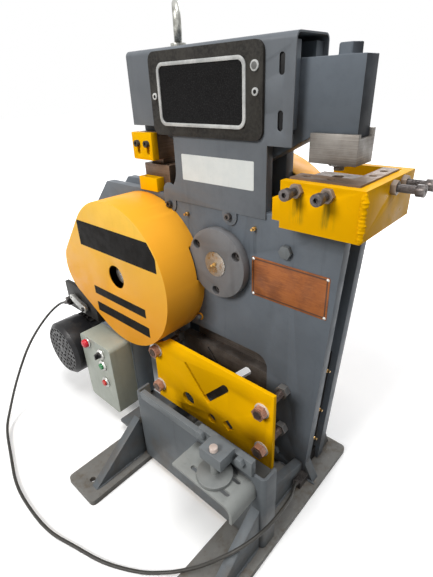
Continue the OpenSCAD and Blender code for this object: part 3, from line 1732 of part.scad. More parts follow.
rim_share = 0.78;
module flywheel() {
  hub_r = 2.3 * drive_r;
  rim_r = rim_share * wheel_r;
  web_y0 = 0.36 * wheel_w;
  web_y1 = 0.64 * wheel_w;
  color("dimgray")
    difference() {
      turned(drive, wheel_y0)
        polygon([[drive_r, 0], [hub_r, 0], [hub_r, web_y0], [rim_r, web_y0], [rim_r, 0], [wheel_r, 0],
          [wheel_r, wheel_w], [rim_r, wheel_w], [rim_r, web_y1], [hub_r, web_y1], [hub_r, wheel_w],
          [drive_r, wheel_w]]);
      for (y = belt_mids)
        turned(drive, y - groove_w / 2)
          translate([wheel_r - groove_d, 0])
            square([groove_d + over, groove_w]);
      for (i = [0 : 5])
        rod_y(drive + polar((hub_r + rim_r) / 2, 60 * i), 0.3 * (rim_r - hub_r), wheel_y0,
          wheel_w);
    }
}

left_foot();
right_foot();
gussets();
base_panel();
panel_bars();
work_shelf();
holddown_block();
holddown_screw();
front_plate();
rear_plate();
plate_spacers();
tie_bolts();
head_cover();
badge_plate();
socket_screws();
bearing_flange();
pivot_pin();
grease_nipples();
lifting_eye();
die_table();
die_bars();
die_screws();
hex_nuts();
notch_die();
notch_clamp();
fixed_blade();
shear_plate();
shear_studs();
gear_guard();
rear_cover();
shaft_bushes();
motor_bracket();
motor_body();
motor_cowl();
motor_rotor();
v_belts();
control_box();
box_lid();
lid_fittings();
selector();
start_button();
stop_button();
cable_ferrules();
clutch_cable();
clutch_lever();
pedal_bracket();
pedal();
rocker_beam();
moving_blade();
punch_holder();
punch();
notch_tool();
notch_plate();
eccentric_shaft();
slide_block();
bull_gear();
countershaft();
big_gear();
drive_shaft();
flywheel();
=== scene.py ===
import math

import bmesh
import bpy
from mathutils import Matrix, Vector, noise


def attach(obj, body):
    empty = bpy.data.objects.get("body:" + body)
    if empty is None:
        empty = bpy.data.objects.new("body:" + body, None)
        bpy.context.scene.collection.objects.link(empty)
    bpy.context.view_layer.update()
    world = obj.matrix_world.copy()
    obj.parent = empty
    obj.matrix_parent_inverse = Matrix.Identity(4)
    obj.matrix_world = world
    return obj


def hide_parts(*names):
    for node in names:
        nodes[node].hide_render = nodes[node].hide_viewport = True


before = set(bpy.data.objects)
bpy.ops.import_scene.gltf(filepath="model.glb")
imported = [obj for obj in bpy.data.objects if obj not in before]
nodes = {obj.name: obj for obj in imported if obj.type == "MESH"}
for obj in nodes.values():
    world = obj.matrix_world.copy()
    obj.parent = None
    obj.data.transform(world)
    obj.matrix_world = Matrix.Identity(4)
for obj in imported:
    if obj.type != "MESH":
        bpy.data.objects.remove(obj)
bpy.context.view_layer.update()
scene = bpy.context.scene

# Places on the solids, in millimetres
MM = 0.001
FRONT = (0, -1, 0)
PLATE_FACE = (130, 154)
SLOT_X = 129
SLOT_HEIGHTS = (1018.2, 1122.2)
SHAFT_END = (-51, 114.2, 654)
GUARD_CENTRE = (-357.95, 570.9)
GUARD_FACE_RADIUS = 232
MOTOR_AXIS = (-655, 216)
FAN_OPENING_RADIUS = 86
BOX = (-540, 54, -360, 330)
LID_FACE = -79.8
LAMP = (-491.4, 307.9)
CONTROLS = ((-415.8, 291.4), (-415.8, 244.4), (-415.8, 172.7))
LABEL = (-178, 864, 62, 931)
RATING_PLATE = (55, 586, 275, 697)
RATING_FACE = 140.9
FOOT_TOP = 21

# Camera at the photograph's place: right, down and forward directions in the row frame
right = Vector((0.742026, 0.669354, -0.036925))
down = Vector((0.283256, -0.362980, -0.887700))
ahead = Vector((-0.607589, 0.648237, -0.458939))
cam_data = bpy.data.cameras.new("camera")
cam_data.sensor_width = 36.0
cam_data.lens = 24.69
cam_data.clip_start = 0.01
cam_data.clip_end = 60.0
cam = bpy.data.objects.new("camera", cam_data)
scene.collection.objects.link(cam)
turn = Matrix((right, -down, -ahead)).transposed().to_4x4()
cam.matrix_world = Matrix.Translation((0.62775, -0.6075, 1.09125)) @ turn
scene.camera = cam

# Cable: the same route as the solid
route = [(-735, -18, 355), (-788, -20, 330), (-806, -60, 301), (-798, -125, 259),
         (-770, -195, 210), (-756, -265, 116), (-722, -325, 40), (-660, -370, 12),
         (-540, -410, 6), (-415, -445, 6), (-305, -455, 6), (-195, -450, 6), (-100, -425, 6),
         (-5, -395, 6), (80, -350, 6), (135, -310, 15), (170, -285, 32), (211, -255, 61),
         (255, -221, 106), (281, -190, 130), (298, -149, 141), (304, -95, 138), (304, -50, 138),
         (295, 0, 118), (276, 45, 85), (258, 90, 50)]
route = [Vector(p) * MM for p in route]


def spline_points(points, steps):
    """Points of a smooth curve through the given ones."""
    out = []
    last = len(points) - 1
    for i in range(last):
        p0, p1 = points[max(0, i - 1)], points[i]
        p2, p3 = points[i + 1], points[min(last, i + 2)]
        for k in range(steps):
            t = k / steps
            out.append(0.5 * (2 * p1 + t * (p2 - p0) + t * t * (2 * p0 - 5 * p1 + 4 * p2 - p3)
                              + t ** 3 * (3 * p1 - p0 - 3 * p2 + p3)))
    out.append(points[-1].copy())
    return out


# Blender adds a point's radius to the curve's box, so the radius carries the millimetres
cable_path = spline_points(route, 8)
cable_data = bpy.data.curves.new("cable", "CURVE")
cable_data.dimensions = "3D"
cable_data.bevel_depth = 4.5
cable_data.bevel_resolution = 4
line = cable_data.splines.new("POLY")
line.points.add(len(cable_path) - 1)
for point, place in zip(line.points, cable_path):
    point.co = (*place, 1.0)
    point.radius = MM
cable = bpy.data.objects.new("cable", cable_data)
scene.collection.objects.link(cable)
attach(cable, "frame")
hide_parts("clutch_cable")


# Materials
def lin(r, g, b):
    """Linear colour from display values of 0 to 255."""
    out = []
    for v in (r, g, b):
        v /= 255
        out.append(v / 12.92 if v <= 0.04045 else ((v + 0.055) / 1.055) ** 2.4)
    return (*out, 1.0)


def tone(colour, k):
    """Linear colour made lighter or darker."""
    return (*(min(1.0, v * k) for v in colour[:3]), 1.0)


class Tree:
    """Node tree of one material, with short helpers. Coordinates are the object's, in metres."""

    def __init__(self, name):
        self.mat = bpy.data.materials.new(name)
        self.mat.use_nodes = True
        self.tree = self.mat.node_tree
        self.shader = self.tree.nodes["Principled BSDF"]
        self.coord = self.tree.nodes.new("ShaderNodeTexCoord").outputs["Object"]
        self.axes = None
        self.normal = None

    def put(self, socket, value):
        if isinstance(value, bpy.types.NodeSocket):
            self.tree.links.new(value, socket)
        else:
            socket.default_value = value

    def set(self, name, value):
        self.put(self.shader.inputs[name], value)

    def math(self, kind, a, b=0.0, c=0.0):
        n = self.tree.nodes.new("ShaderNodeMath")
        n.operation = kind
        for socket, value in zip(n.inputs, (a, b, c)):
            self.put(socket, value)
        return n.outputs[0]

    def times(self, a, b):
        return self.math("MULTIPLY", a, b)

    def vec(self, kind, a, b=(0, 0, 0)):
        n = self.tree.nodes.new("ShaderNodeVectorMath")
        n.operation = kind
        self.put(n.inputs[0], a)
        self.put(n.inputs[1], b)
        number = kind in ("DOT_PRODUCT", "LENGTH", "DISTANCE")
        return n.outputs["Value"] if number else n.outputs[0]

    def span(self, value, lo, hi, a=0.0, b=1.0):
        """Smooth step from a to b while the value goes from lo to hi."""
        n = self.tree.nodes.new("ShaderNodeMapRange")
        n.interpolation_type = "SMOOTHSTEP"
        for socket, v in zip(n.inputs, (value, lo, hi, a, b)):
            self.put(socket, v)
        return n.outputs[0]

    def place(self, stretch):
        return self.vec("MULTIPLY", self.coord, stretch) if stretch else self.coord

    def noise(self, scale, detail=4.0, rough=0.55, stretch=None):
        n = self.tree.nodes.new("ShaderNodeTexNoise")
        self.put(n.inputs["Vector"], self.place(stretch))
        n.inputs["Scale"].default_value = scale
        n.inputs["Detail"].default_value = detail
        n.inputs["Roughness"].default_value = rough
        return n.outputs[0]

    def cells(self, scale, random_share=1.0, stretch=None):
        n = self.tree.nodes.new("ShaderNodeTexVoronoi")
        self.put(n.inputs["Vector"], self.place(stretch))
        n.inputs["Scale"].default_value = scale
        n.inputs["Randomness"].default_value = random_share
        return n.outputs["Distance"]

    def mix(self, fac, a, b):
        n = self.tree.nodes.new("ShaderNodeMix")
        n.data_type = "RGBA"
        self.put(n.inputs["Factor"], fac)
        self.put(n.inputs[6], a)
        self.put(n.inputs[7], b)
        return n.outputs[2]

    def mottled(self, a, b, scale, detail, rough=0.55):
        """Two display colours mixed by noise."""
        return self.mix(self.noise(scale, detail, rough), lin(*a), lin(*b))

    def xyz(self):
        if self.axes is None:
            n = self.tree.nodes.new("ShaderNodeSeparateXYZ")
            self.put(n.inputs[0], self.coord)
            self.axes = n.outputs
        return self.axes

    def within(self, axis, lo, hi, soft=0.4):
        """1 between two places along an axis, in millimetres."""
        v = self.xyz()[axis]
        up = self.span(v, (lo - soft) * MM, (lo + soft) * MM)
        return self.times(up, self.span(v, (hi - soft) * MM, (hi + soft) * MM, 1.0, 0.0))

    def box(self, x, y, z, soft=0.4):
        """1 inside a box, in millimetres. An axis given as None has no limits."""
        out = None
        for axis, pair in enumerate((x, y, z)):
            if pair:
                m = self.within(axis, pair[0], pair[1], soft)
                out = m if out is None else self.times(out, m)
        return out

    def disc(self, x, z, r, soft=0.4):
        """1 inside a circle seen along Y, in millimetres."""
        flat = self.vec("MULTIPLY", self.coord, (1, 0, 1))
        d = self.vec("DISTANCE", flat, (x * MM, 0, z * MM))
        return self.span(d, (r - soft) * MM, (r + soft) * MM, 1.0, 0.0)

    def facing(self, direction):
        g = self.tree.nodes.new("ShaderNodeNewGeometry")
        return self.vec("DOT_PRODUCT", g.outputs["Normal"], direction)

    def edge(self, radius):
        """1 along edges."""
        n = self.tree.nodes.new("ShaderNodeBevel")
        n.samples = 4
        n.inputs["Radius"].default_value = radius
        return self.span(self.facing(n.outputs[0]), 0.985, 0.75)

    def corner_shade(self, distance):
        """1 deep in corners."""
        n = self.tree.nodes.new("ShaderNodeAmbientOcclusion")
        n.samples = 6
        n.inputs["Distance"].default_value = distance
        return self.math("SUBTRACT", 1.0, n.outputs["AO"])

    def bump(self, height, strength, distance):
        n = self.tree.nodes.new("ShaderNodeBump")
        n.inputs["Strength"].default_value = strength
        n.inputs["Distance"].default_value = distance
        self.put(n.inputs["Height"], height)
        if self.normal is not None:
            self.put(n.inputs["Normal"], self.normal)
        self.normal = n.outputs[0]

    def done(self, colour, rough):
        self.set("Base Color", colour)
        self.set("Roughness", rough)
        if self.normal is not None:
            self.set("Normal", self.normal)
        return self.mat


def paint(name, rgb, rough, peel, wear, dirt, worn=(150, 146, 140), grime_and_shade=(38, 32, 27),
          extra=None, mottle=0.32, wave=0.12, spec=0.15):
    """Brushed or sprayed paint: slow drift, runs, worn edges, and dirt with painted shade deep in
    the corners.
    """
    t = Tree(name)
    colour, worn, grime_and_shade = lin(*rgb), lin(*worn), lin(*grime_and_shade)
    c = t.mix(t.span(t.noise(4.5, 3.0), 0.35, 0.68), tone(colour, 0.93), tone(colour, 1.07))
    c = t.mix(t.span(t.noise(46, 6.0, 0.65), 0.42, 0.72, 0.0, mottle), c, tone(colour, 0.8))
    runs = t.span(t.noise(1.0, 5.0, 0.6, (38, 38, 3.2)), 0.56, 0.75, 0.0, 0.3 * dirt)
    c = t.mix(runs, c, grime_and_shade)
    spots = t.span(t.cells(95), 0.06, 0.1, 0.5 * dirt, 0.0)
    c = t.mix(t.times(spots, t.span(t.noise(12), 0.55, 0.62)), c, grime_and_shade)
    # Painted shade with dirt: darker deep in corners and crevices, found by ambient occlusion, in
    # patches
    corners = t.span(t.corner_shade(0.035), 0.28, 0.8)
    patches = t.span(t.noise(26, 4.0), 0.3, 0.6, 0.35 * dirt, dirt)
    c = t.mix(t.times(corners, patches), c, grime_and_shade)
    if extra:
        c = extra(t, c)
    chips = t.span(t.noise(60, 5.0, 0.7), 0.46, 0.62, 0.25 * wear, wear)
    c = t.mix(t.times(t.edge(0.0022), chips), c, worn)
    t.bump(t.noise(420, 2.0), peel, 0.0006)
    t.bump(t.noise(28, 3.0), wave, 0.002)
    t.set("Specular IOR Level", spec)
    return t.done(c, t.span(t.noise(20, 5.0), 0.3, 0.75, rough - 0.07, rough + 0.12))


def metal(name, rgb, dark, rough, grain, metallic, rust, rust_rgb=(104, 66, 42), extra=None,
          spec=0.3):
    """Bare steel: brushed grain, stains, rust freckles and bright edges."""
    t = Tree(name)
    colour = lin(*rgb)
    c = t.mix(t.span(t.noise(14, 5.0, 0.6), 0.38, 0.68), lin(*dark), colour)
    lines = t.noise(1.0, 3.0, 0.6, grain)
    c = t.mix(t.span(lines, 0.4, 0.62, 0.0, 0.45), c, tone(colour, 1.25))
    c = t.mix(t.span(t.noise(75, 6.0, 0.7), 0.55, 0.72, 0.0, rust), c, lin(*rust_rgb))
    # Painted shade: dark brown deep in corners and crevices, found by ambient occlusion
    c = t.mix(t.span(t.corner_shade(0.012), 0.35, 0.9, 0.0, 0.75), c, lin(30, 24, 20))
    if extra:
        c = extra(t, c)
    c = t.mix(t.times(t.edge(0.0012), 0.55), c, tone(colour, 1.7))
    t.set("Metallic", metallic)
    t.set("Specular IOR Level", spec)
    t.bump(lines, 0.09, 0.0005)
    t.bump(t.noise(260, 3.0), 0.12, 0.0004)
    return t.done(c, t.span(t.noise(45, 4.0), 0.3, 0.75, rough - 0.08, rough + 0.16))


def plastic(name, rgb, rough):
    """Moulded plastic with faint mottling, scratches, and a brownish grey deep in the corners that
    stands for dust and painted shade.
    """
    t = Tree(name)
    colour = lin(*rgb)
    c = t.mix(t.span(t.noise(60, 4.0), 0.35, 0.7), tone(colour, 0.86), tone(colour, 1.1))
    # Dust and painted shade: brownish grey deep in corners, found by ambient occlusion
    c = t.mix(t.span(t.corner_shade(0.006), 0.3, 0.9, 0.0, 0.5), c, lin(60, 56, 50))
    scratch = t.noise(1.0, 3.0, 0.6, (900, 60, 300))
    c = t.mix(t.span(scratch, 0.62, 0.78, 0.0, 0.22), c, tone(colour, 1.8))
    t.bump(t.noise(700, 2.0), 0.08, 0.0003)
    return t.done(c, t.span(t.noise(90, 3.0), 0.3, 0.7, rough - 0.06, rough + 0.1))


# Marks on single pieces, drawn over their paint or metal
def plate_marks(t, c):
    """Grease runs under the nipples, painted shade behind the cover's slots, and dust low down."""
    for x, z, long in ((-172, 769, 60), (64, 772, 70), (-16, 765, 40)):
        where = t.box((x - 3.5, x + 3.5), PLATE_FACE, (z - long, z - 5), 5.0)
        run = t.times(where, t.span(t.noise(1.0, 4.0, 0.6, (420, 420, 12)), 0.35, 0.6))
        c = t.mix(t.times(run, 0.6), c, lin(32, 33, 36))
    # Painted shade: near black where the plate is seen through the cover's slots
    for z in SLOT_HEIGHTS:
        where = t.box((SLOT_X - 7, SLOT_X + 7), PLATE_FACE, (z - 20, z + 20), 0.6)
        c = t.mix(where, c, lin(16, 16, 17))
    dust = t.times(t.within(2, -50, 150, 90), t.span(t.noise(16, 5.0, 0.65), 0.4, 0.7))
    return t.mix(t.times(dust, 0.45), c, lin(92, 80, 66))


def slot_marks(t, c):
    """Painted shade inside the cover's two slots."""
    for z in SLOT_HEIGHTS:
        where = t.box((SLOT_X - 9, SLOT_X + 9), (139.5, 400), (z - 23, z + 23), 0.5)
        c = t.mix(where, c, lin(14, 14, 15))
    return c


def end_marks(t, c):
    """Painted shade: the beam's end darker where it faces +X, and near black behind the cover's
    slots.
    """
    # Painted shade behind the cover's slots
    where = t.box((SLOT_X - 13, SLOT_X + 13), (100, 300), (990, 1150), 1.0)
    c = t.mix(where, c, lin(14, 14, 15))
    # Painted shade on the faces turned to +X, in patches
    end_shade = t.span(t.noise(12, 5.0, 0.6), 0.25, 0.6, 0.55, 0.85)
    return t.mix(t.times(t.span(t.facing((1, 0, 0)), 0.6, 0.9), end_shade), c, lin(44, 45, 48))


def foot_marks(t, c):
    """Brown floor dirt and scuffs on the feet."""
    dirt = t.span(t.noise(22, 6.0, 0.68), 0.45, 0.7, 0.0, 0.6)
    c = t.mix(dirt, c, lin(86, 74, 58))
    scuff = t.span(t.noise(1.0, 4.0, 0.6, (160, 30, 160)), 0.62, 0.72, 0.0, 0.5)
    return t.mix(scuff, c, lin(138, 132, 122))


def table_marks(t, c):
    """Greenish runs below the two front clamp screws, and oily fingermarks."""
    for x in (215, 283):
        where = t.box((x - 10, x + 14), (60, 82), (832, 893), 9.0)
        run = t.times(where, t.span(t.noise(1.0, 4.0, 0.6, (95, 95, 11)), 0.36, 0.62))
        c = t.mix(t.times(run, 0.85), c, lin(112, 104, 34))
    smear = t.span(t.noise(9, 6.0, 0.7), 0.58, 0.74, 0.0, 0.4)
    return t.mix(smear, c, lin(168, 116, 12))


def yellow_marks(t, c):
    """Faint smears, and the dark screws in front of the notching plate."""
    smear = t.span(t.noise(11, 6.0, 0.7), 0.6, 0.76, 0.0, 0.16)
    c = t.mix(smear, c, lin(204, 146, 10))
    screws = t.box((-420, -250), (110, 128.2), (900, 1010), 0.15)
    return t.mix(screws, c, t.mottled((48, 46, 44), (92, 88, 84), 150, 4.0))


def guard_marks(t, c):
    """Painted light and shade: paler towards the top of the face, more orange low down, and a
    brighter orange on the rim, set by which way the surface faces.
    """
    c = t.mix(t.span(t.xyz()[2], 0.38, 0.82), lin(240, 164, 46), c)
    # Painted light on the rim: faces turned away from the front get a brighter orange
    return t.mix(t.span(t.facing(FRONT), 0.5, 0.9, 0.9, 0.0), c, lin(255, 176, 46))


def badge_marks(t, c):
    """Black field, bright raised border, boss and screw rims."""
    field = t.box((-233, 42), None, (1001, 1140), 2.0)
    grain = t.span(t.noise(330, 3.0, 0.7), 0.45, 0.7)
    c = t.mix(field, c, t.mix(grain, lin(11, 11, 12), lin(36, 35, 35)))
    proud = t.within(1, 100, 129.4, 0.3)
    polish = t.span(t.noise(22, 5.0, 0.7), 0.3, 0.7)
    shine = t.mix(polish, lin(176, 178, 178), lin(216, 217, 216))
    c = t.mix(t.times(proud, 0.96), c, shine)
    for x, z in ((-251, 1068), (71, 1074)):
        c = t.mix(t.disc(x, z, 4.2, 0.7), c, lin(26, 25, 25))
    return t.mix(t.times(t.disc(69, 1122, 7.2, 0.5), 0.75), c, lin(58, 57, 56))


def nut_marks(t, c):
    """Pinkish nuts on the shear plate with bright washers, greyer ones elsewhere."""
    washer = t.within(1, 33.6, 37.4, 0.2)
    c = t.mix(t.within(1, 100, 400, 1.0), c, t.mottled((98, 100, 102), (140, 138, 134), 60, 5.0))
    c = t.mix(t.within(2, 700, 1000, 1.0), c, t.mottled((112, 96, 84), (150, 140, 130), 80, 5.0))
    return t.mix(washer, c, t.mottled((196, 194, 188), (236, 234, 230), 120, 4.0))


def lamp_marks(t, c):
    """Red under the lamp's lens."""
    return t.mix(t.disc(*LAMP, 11.3, 0.4), c, t.mottled((150, 14, 10), (214, 34, 22), 140, 3.0))


def cowl_marks(t, c):
    """Fine mesh over the fan opening with its holes painted near black as shade, and dust."""
    opening = t.times(t.disc(*MOTOR_AXIS, FAN_OPENING_RADIUS, 1.0), t.within(1, -112, -106, 0.5))
    # Painted shade in the mesh's holes
    mesh = t.span(t.cells(240, 0.0, (1, 0.001, 1)), 0.34, 0.44, 1.0, 0.0)
    c = t.mix(t.times(opening, mesh), c, lin(9, 9, 10))
    return t.mix(t.span(t.noise(30, 6.0, 0.7), 0.55, 0.75, 0.0, 0.15), c, lin(112, 104, 92))


def screw_thread(t, c):
    """Fine thread along the clamp screws: along X on the right, along Y in front."""
    x, y = t.xyz()[0], t.xyz()[1]
    side = t.span(x, 355.5 * MM, 356 * MM)
    along = t.math("ADD", t.times(x, side), t.times(y, t.math("SUBTRACT", 1.0, side)))
    wave = t.math("PINGPONG", t.times(along, 500.0), 0.5)
    head = t.math("MAXIMUM", t.within(0, 399, 430, 0.3), t.within(1, 20, 46.5, 0.3))
    t.bump(t.times(wave, t.math("SUBTRACT", 1.0, head)), 0.9, 0.0012)
    return c


def stud_thread(t, c):
    """Thread along the shear studs."""
    t.bump(t.math("PINGPONG", t.times(t.xyz()[1], 400.0), 0.5), 0.9, 0.0014)
    return c


def pad_marks(t, c):
    """Painted pad and stem, bright upper end."""
    stem, upper = t.within(2, 200, 342, 1.0), t.within(2, 344, 360, 1.0)
    c = t.mix(stem, c, t.mottled((112, 116, 116), (138, 140, 138), 30, 5.0))
    return t.mix(upper, c, t.mottled((176, 156, 146), (220, 208, 200), 90, 4.0))


mats = {
    "cover": paint("cover_paint", (107, 112, 118), rough=0.44, peel=0.1, wear=0.45, dirt=0.35,
                   extra=slot_marks),
    "ram": paint("ram_paint", (96, 103, 111), rough=0.5, peel=0.12, wear=0.4, dirt=0.45,
                 extra=end_marks, spec=0.06),
    "plate": paint("plate_paint", (102, 109, 117), rough=0.4, peel=0.14, wear=0.5, dirt=0.7,
                   extra=plate_marks),
    "base": paint("base_paint", (96, 101, 105), rough=0.44, peel=0.14, wear=0.6, dirt=0.75,
                  extra=plate_marks),
    "block": paint("block_paint", (114, 119, 122), rough=0.42, peel=0.12, wear=0.6, dirt=0.6),
    "shelf": paint("shelf_paint", (144, 147, 145), rough=0.45, peel=0.12, wear=0.5, dirt=0.6),
    "flange": paint("flange_paint", (116, 116, 118), rough=0.38, peel=0.1, wear=0.7, dirt=0.5),
    "foot": paint("foot_paint", (116, 115, 112), rough=0.5, peel=0.18, wear=0.8, dirt=0.8,
                  worn=(176, 164, 146), grime_and_shade=(62, 50, 38), extra=foot_marks),
    "table": paint("table_paint", (244, 180, 4), rough=0.34, peel=0.2, wear=0.25, dirt=0.3,
                   worn=(250, 210, 70), grime_and_shade=(120, 80, 8), extra=table_marks,
                   mottle=0.12, wave=0.06, spec=0.02),
    "yellow": paint("yellow_paint", (248, 186, 4), rough=0.4, peel=0.1, wear=0.35, dirt=0.1,
                    worn=(255, 222, 96), grime_and_shade=(128, 86, 8), extra=yellow_marks,
                    mottle=0.08, wave=0.04, spec=0.02),
    "guard": paint("guard_paint", (250, 198, 80), rough=0.4, peel=0.05, wear=0.3, dirt=0.22,
                   worn=(255, 226, 150), grime_and_shade=(150, 92, 20), extra=guard_marks,
                   mottle=0.15, wave=0.05, spec=0.12),
    "motor": paint("motor_paint", (46, 46, 48), rough=0.45, peel=0.2, wear=0.5, dirt=0.8,
                   spec=0.4),
    "bracket": paint("bracket_paint", (50, 49, 48), rough=0.5, peel=0.2, wear=0.5, dirt=0.8),
    "cowl": paint("cowl_paint", (34, 34, 36), rough=0.36, peel=0.12, wear=0.5, dirt=0.4,
                  extra=cowl_marks, spec=0.25),
    "box": paint("box_paint", (152, 164, 174), rough=0.42, peel=0.1, wear=0.3, dirt=0.5),
    "lid": paint("lid_paint", (160, 166, 156), rough=0.36, peel=0.1, wear=0.25, dirt=0.35,
                 worn=(206, 206, 198), spec=0.5),
    "tool": metal("tool_steel", (116, 96, 80), (84, 68, 56), 0.46, grain=(6, 6, 420),
                  metallic=0.3, rust=0.4, rust_rgb=(92, 64, 46)),
    "blade": metal("blade_steel", (104, 98, 93), (70, 64, 60), 0.48, grain=(6, 6, 420),
                   metallic=0.3, rust=0.4, rust_rgb=(92, 68, 52)),
    "inner": metal("inner_steel", (34, 32, 31), (20, 19, 19), 0.6, grain=(60, 60, 60),
                   metallic=0.1, rust=0.3, rust_rgb=(52, 40, 32), spec=0.1),
    "holder": metal("holder_steel", (130, 126, 121), (106, 101, 96), 0.42, grain=(5, 5, 700),
                    metallic=0.6, rust=0.22, rust_rgb=(108, 90, 74)),
    "bright": metal("bright_steel", (186, 186, 182), (140, 140, 138), 0.3, grain=(700, 6, 700),
                    metallic=0.9, rust=0.15),
    "eye": metal("eye_zinc", (196, 196, 190), (138, 138, 132), 0.34, grain=(60, 60, 60),
                 metallic=0.75, rust=0.18, rust_rgb=(128, 122, 108)),
    "dark": metal("dark_steel", (92, 88, 86), (50, 47, 46), 0.4, grain=(300, 300, 300),
                  metallic=0.6, rust=0.35, rust_rgb=(96, 68, 52)),
    "clamp": metal("clamp_screw_steel", (104, 98, 96), (58, 54, 54), 0.38, grain=(300, 300, 300),
                   metallic=0.6, rust=0.35, rust_rgb=(104, 74, 58), extra=screw_thread),
    "stud": metal("stud_steel", (122, 106, 98), (76, 64, 60), 0.4, grain=(300, 300, 300),
                  metallic=0.6, rust=0.4, rust_rgb=(110, 74, 56), extra=stud_thread),
    "nut": metal("nut_zinc", (188, 142, 122), (138, 100, 84), 0.4, grain=(200, 200, 200),
                 metallic=0.25, rust=0.35, rust_rgb=(120, 82, 66), extra=nut_marks),
    "pad": metal("pad_paint", (150, 150, 148), (112, 112, 110), 0.46, grain=(200, 200, 30),
                 metallic=0.2, rust=0.15, extra=pad_marks),
    "brass": metal("brass", (214, 176, 112), (150, 112, 62), 0.3, grain=(300, 300, 300),
                   metallic=0.85, rust=0.15, rust_rgb=(120, 84, 40)),
    "bronze": metal("bronze", (176, 130, 78), (124, 88, 52), 0.34, grain=(400, 8, 400),
                    metallic=0.85, rust=0.2, rust_rgb=(92, 64, 36)),
    "iron": metal("gear_iron", (104, 102, 100), (62, 60, 58), 0.5, grain=(60, 300, 60),
                  metallic=0.55, rust=0.45, rust_rgb=(88, 60, 44)),
    "badge": metal("cast_badge", (60, 58, 55), (40, 39, 38), 0.55, grain=(130, 130, 130),
                   metallic=0.0, rust=0.25, rust_rgb=(66, 58, 50), extra=badge_marks, spec=0.08),
    "fitting": metal("fitting_metal", (226, 226, 222), (160, 160, 156), 0.28,
                     grain=(300, 300, 300), metallic=0.7, rust=0.1, extra=lamp_marks),
    "black": plastic("black_plastic", (30, 30, 31), 0.34),
    "green": plastic("green_plastic", (30, 132, 70), 0.32),
    "red": plastic("red_plastic", (196, 34, 24), 0.32),
    "lens": plastic("lamp_red", (206, 22, 44), 0.22),
    "rubber": plastic("belt_rubber", (34, 33, 32), 0.7),
    "sheath": plastic("cable_sheath", (44, 42, 38), 0.5),
}
looks = {
    "cover": ("head_cover",),
    "ram": ("rocker_beam",),
    "plate": ("front_plate", "rear_plate"),
    "base": ("gussets", "base_panel", "pedal_bracket"),
    "block": ("holddown_block", "panel_bars", "tie_bolts"),
    "shelf": ("work_shelf",),
    "flange": ("bearing_flange",),
    "foot": ("left_foot", "right_foot"),
    "table": ("die_table",),
    "yellow": ("notch_clamp", "notch_plate", "shear_plate"),
    "guard": ("gear_guard", "rear_cover"),
    "motor": ("motor_body",),
    "bracket": ("motor_bracket",),
    "cowl": ("motor_cowl",),
    "box": ("control_box",),
    "lid": ("box_lid",),
    "tool": ("die_bars", "notch_die", "notch_tool"),
    "blade": ("fixed_blade", "moving_blade"),
    "inner": ("plate_spacers",),
    "holder": ("punch_holder",),
    "bright": ("pivot_pin", "punch", "eccentric_shaft", "countershaft", "drive_shaft",
               "clutch_lever"),
    "eye": ("lifting_eye",),
    "dark": ("socket_screws", "cable_ferrules", "pedal"),
    "clamp": ("die_screws",),
    "stud": ("shear_studs",),
    "nut": ("hex_nuts",),
    "pad": ("holddown_screw",),
    "brass": ("grease_nipples",),
    "bronze": ("shaft_bushes", "slide_block"),
    "iron": ("bull_gear", "big_gear", "flywheel", "motor_rotor"),
    "badge": ("badge_plate",),
    "fitting": ("lid_fittings",),
    "black": ("selector",),
    "green": ("start_button",),
    "red": ("stop_button",),
    "rubber": ("v_belts",),
    "sheath": ("clutch_cable",),
}


def wear_material(obj, material):
    obj.data.materials.clear()
    obj.data.materials.append(material)


for look, members in looks.items():
    for name in members:
        wear_material(nodes[name], mats[look])
wear_material(cable, mats["sheath"])


# Rounded edges and smooth shading, by modifiers only
def smooth_group(limit):
    """Node group that shades smooth across edges flatter than the limit, in degrees."""
    g = bpy.data.node_groups.new("smooth_%d" % limit, "GeometryNodeTree")
    for way in ("INPUT", "OUTPUT"):
        g.interface.new_socket("Geometry", in_out=way, socket_type="NodeSocketGeometry")
    new = g.nodes.new
    first, last = new("NodeGroupInput"), new("NodeGroupOutput")
    drop = new("GeometryNodeRemoveAttribute")
    drop.inputs["Name"].default_value = "custom_normal"
    faces, edges = new("GeometryNodeSetShadeSmooth"), new("GeometryNodeSetShadeSmooth")
    edges.domain = "EDGE"
    angle = new("GeometryNodeInputMeshEdgeAngle")
    less = new("FunctionNodeCompare")
    less.data_type = "FLOAT"
    less.operation = "LESS_THAN"
    less.inputs[1].default_value = math.radians(limit)
    link = g.links.new
    link(first.outputs[0], drop.inputs["Geometry"])
    link(drop.outputs[0], faces.inputs["Geometry"])
    link(faces.outputs[0], edges.inputs["Geometry"])
    link(angle.outputs["Unsigned Angle"], less.inputs[0])
    link(less.outputs[0], edges.inputs["Shade Smooth"])
    link(edges.outputs[0], last.inputs[0])
    return g


smooth = smooth_group(32)


def add_bevel(obj, width, steps):
    m = obj.modifiers.new("bevel", "BEVEL")
    m.width = width * MM
    m.segments = steps
    m.limit_method = "ANGLE"
    m.angle_limit = math.radians(40)
    m.use_clamp_overlap = True


def add_shading(obj):
    obj.modifiers.new("shade", "NODES").node_group = smooth


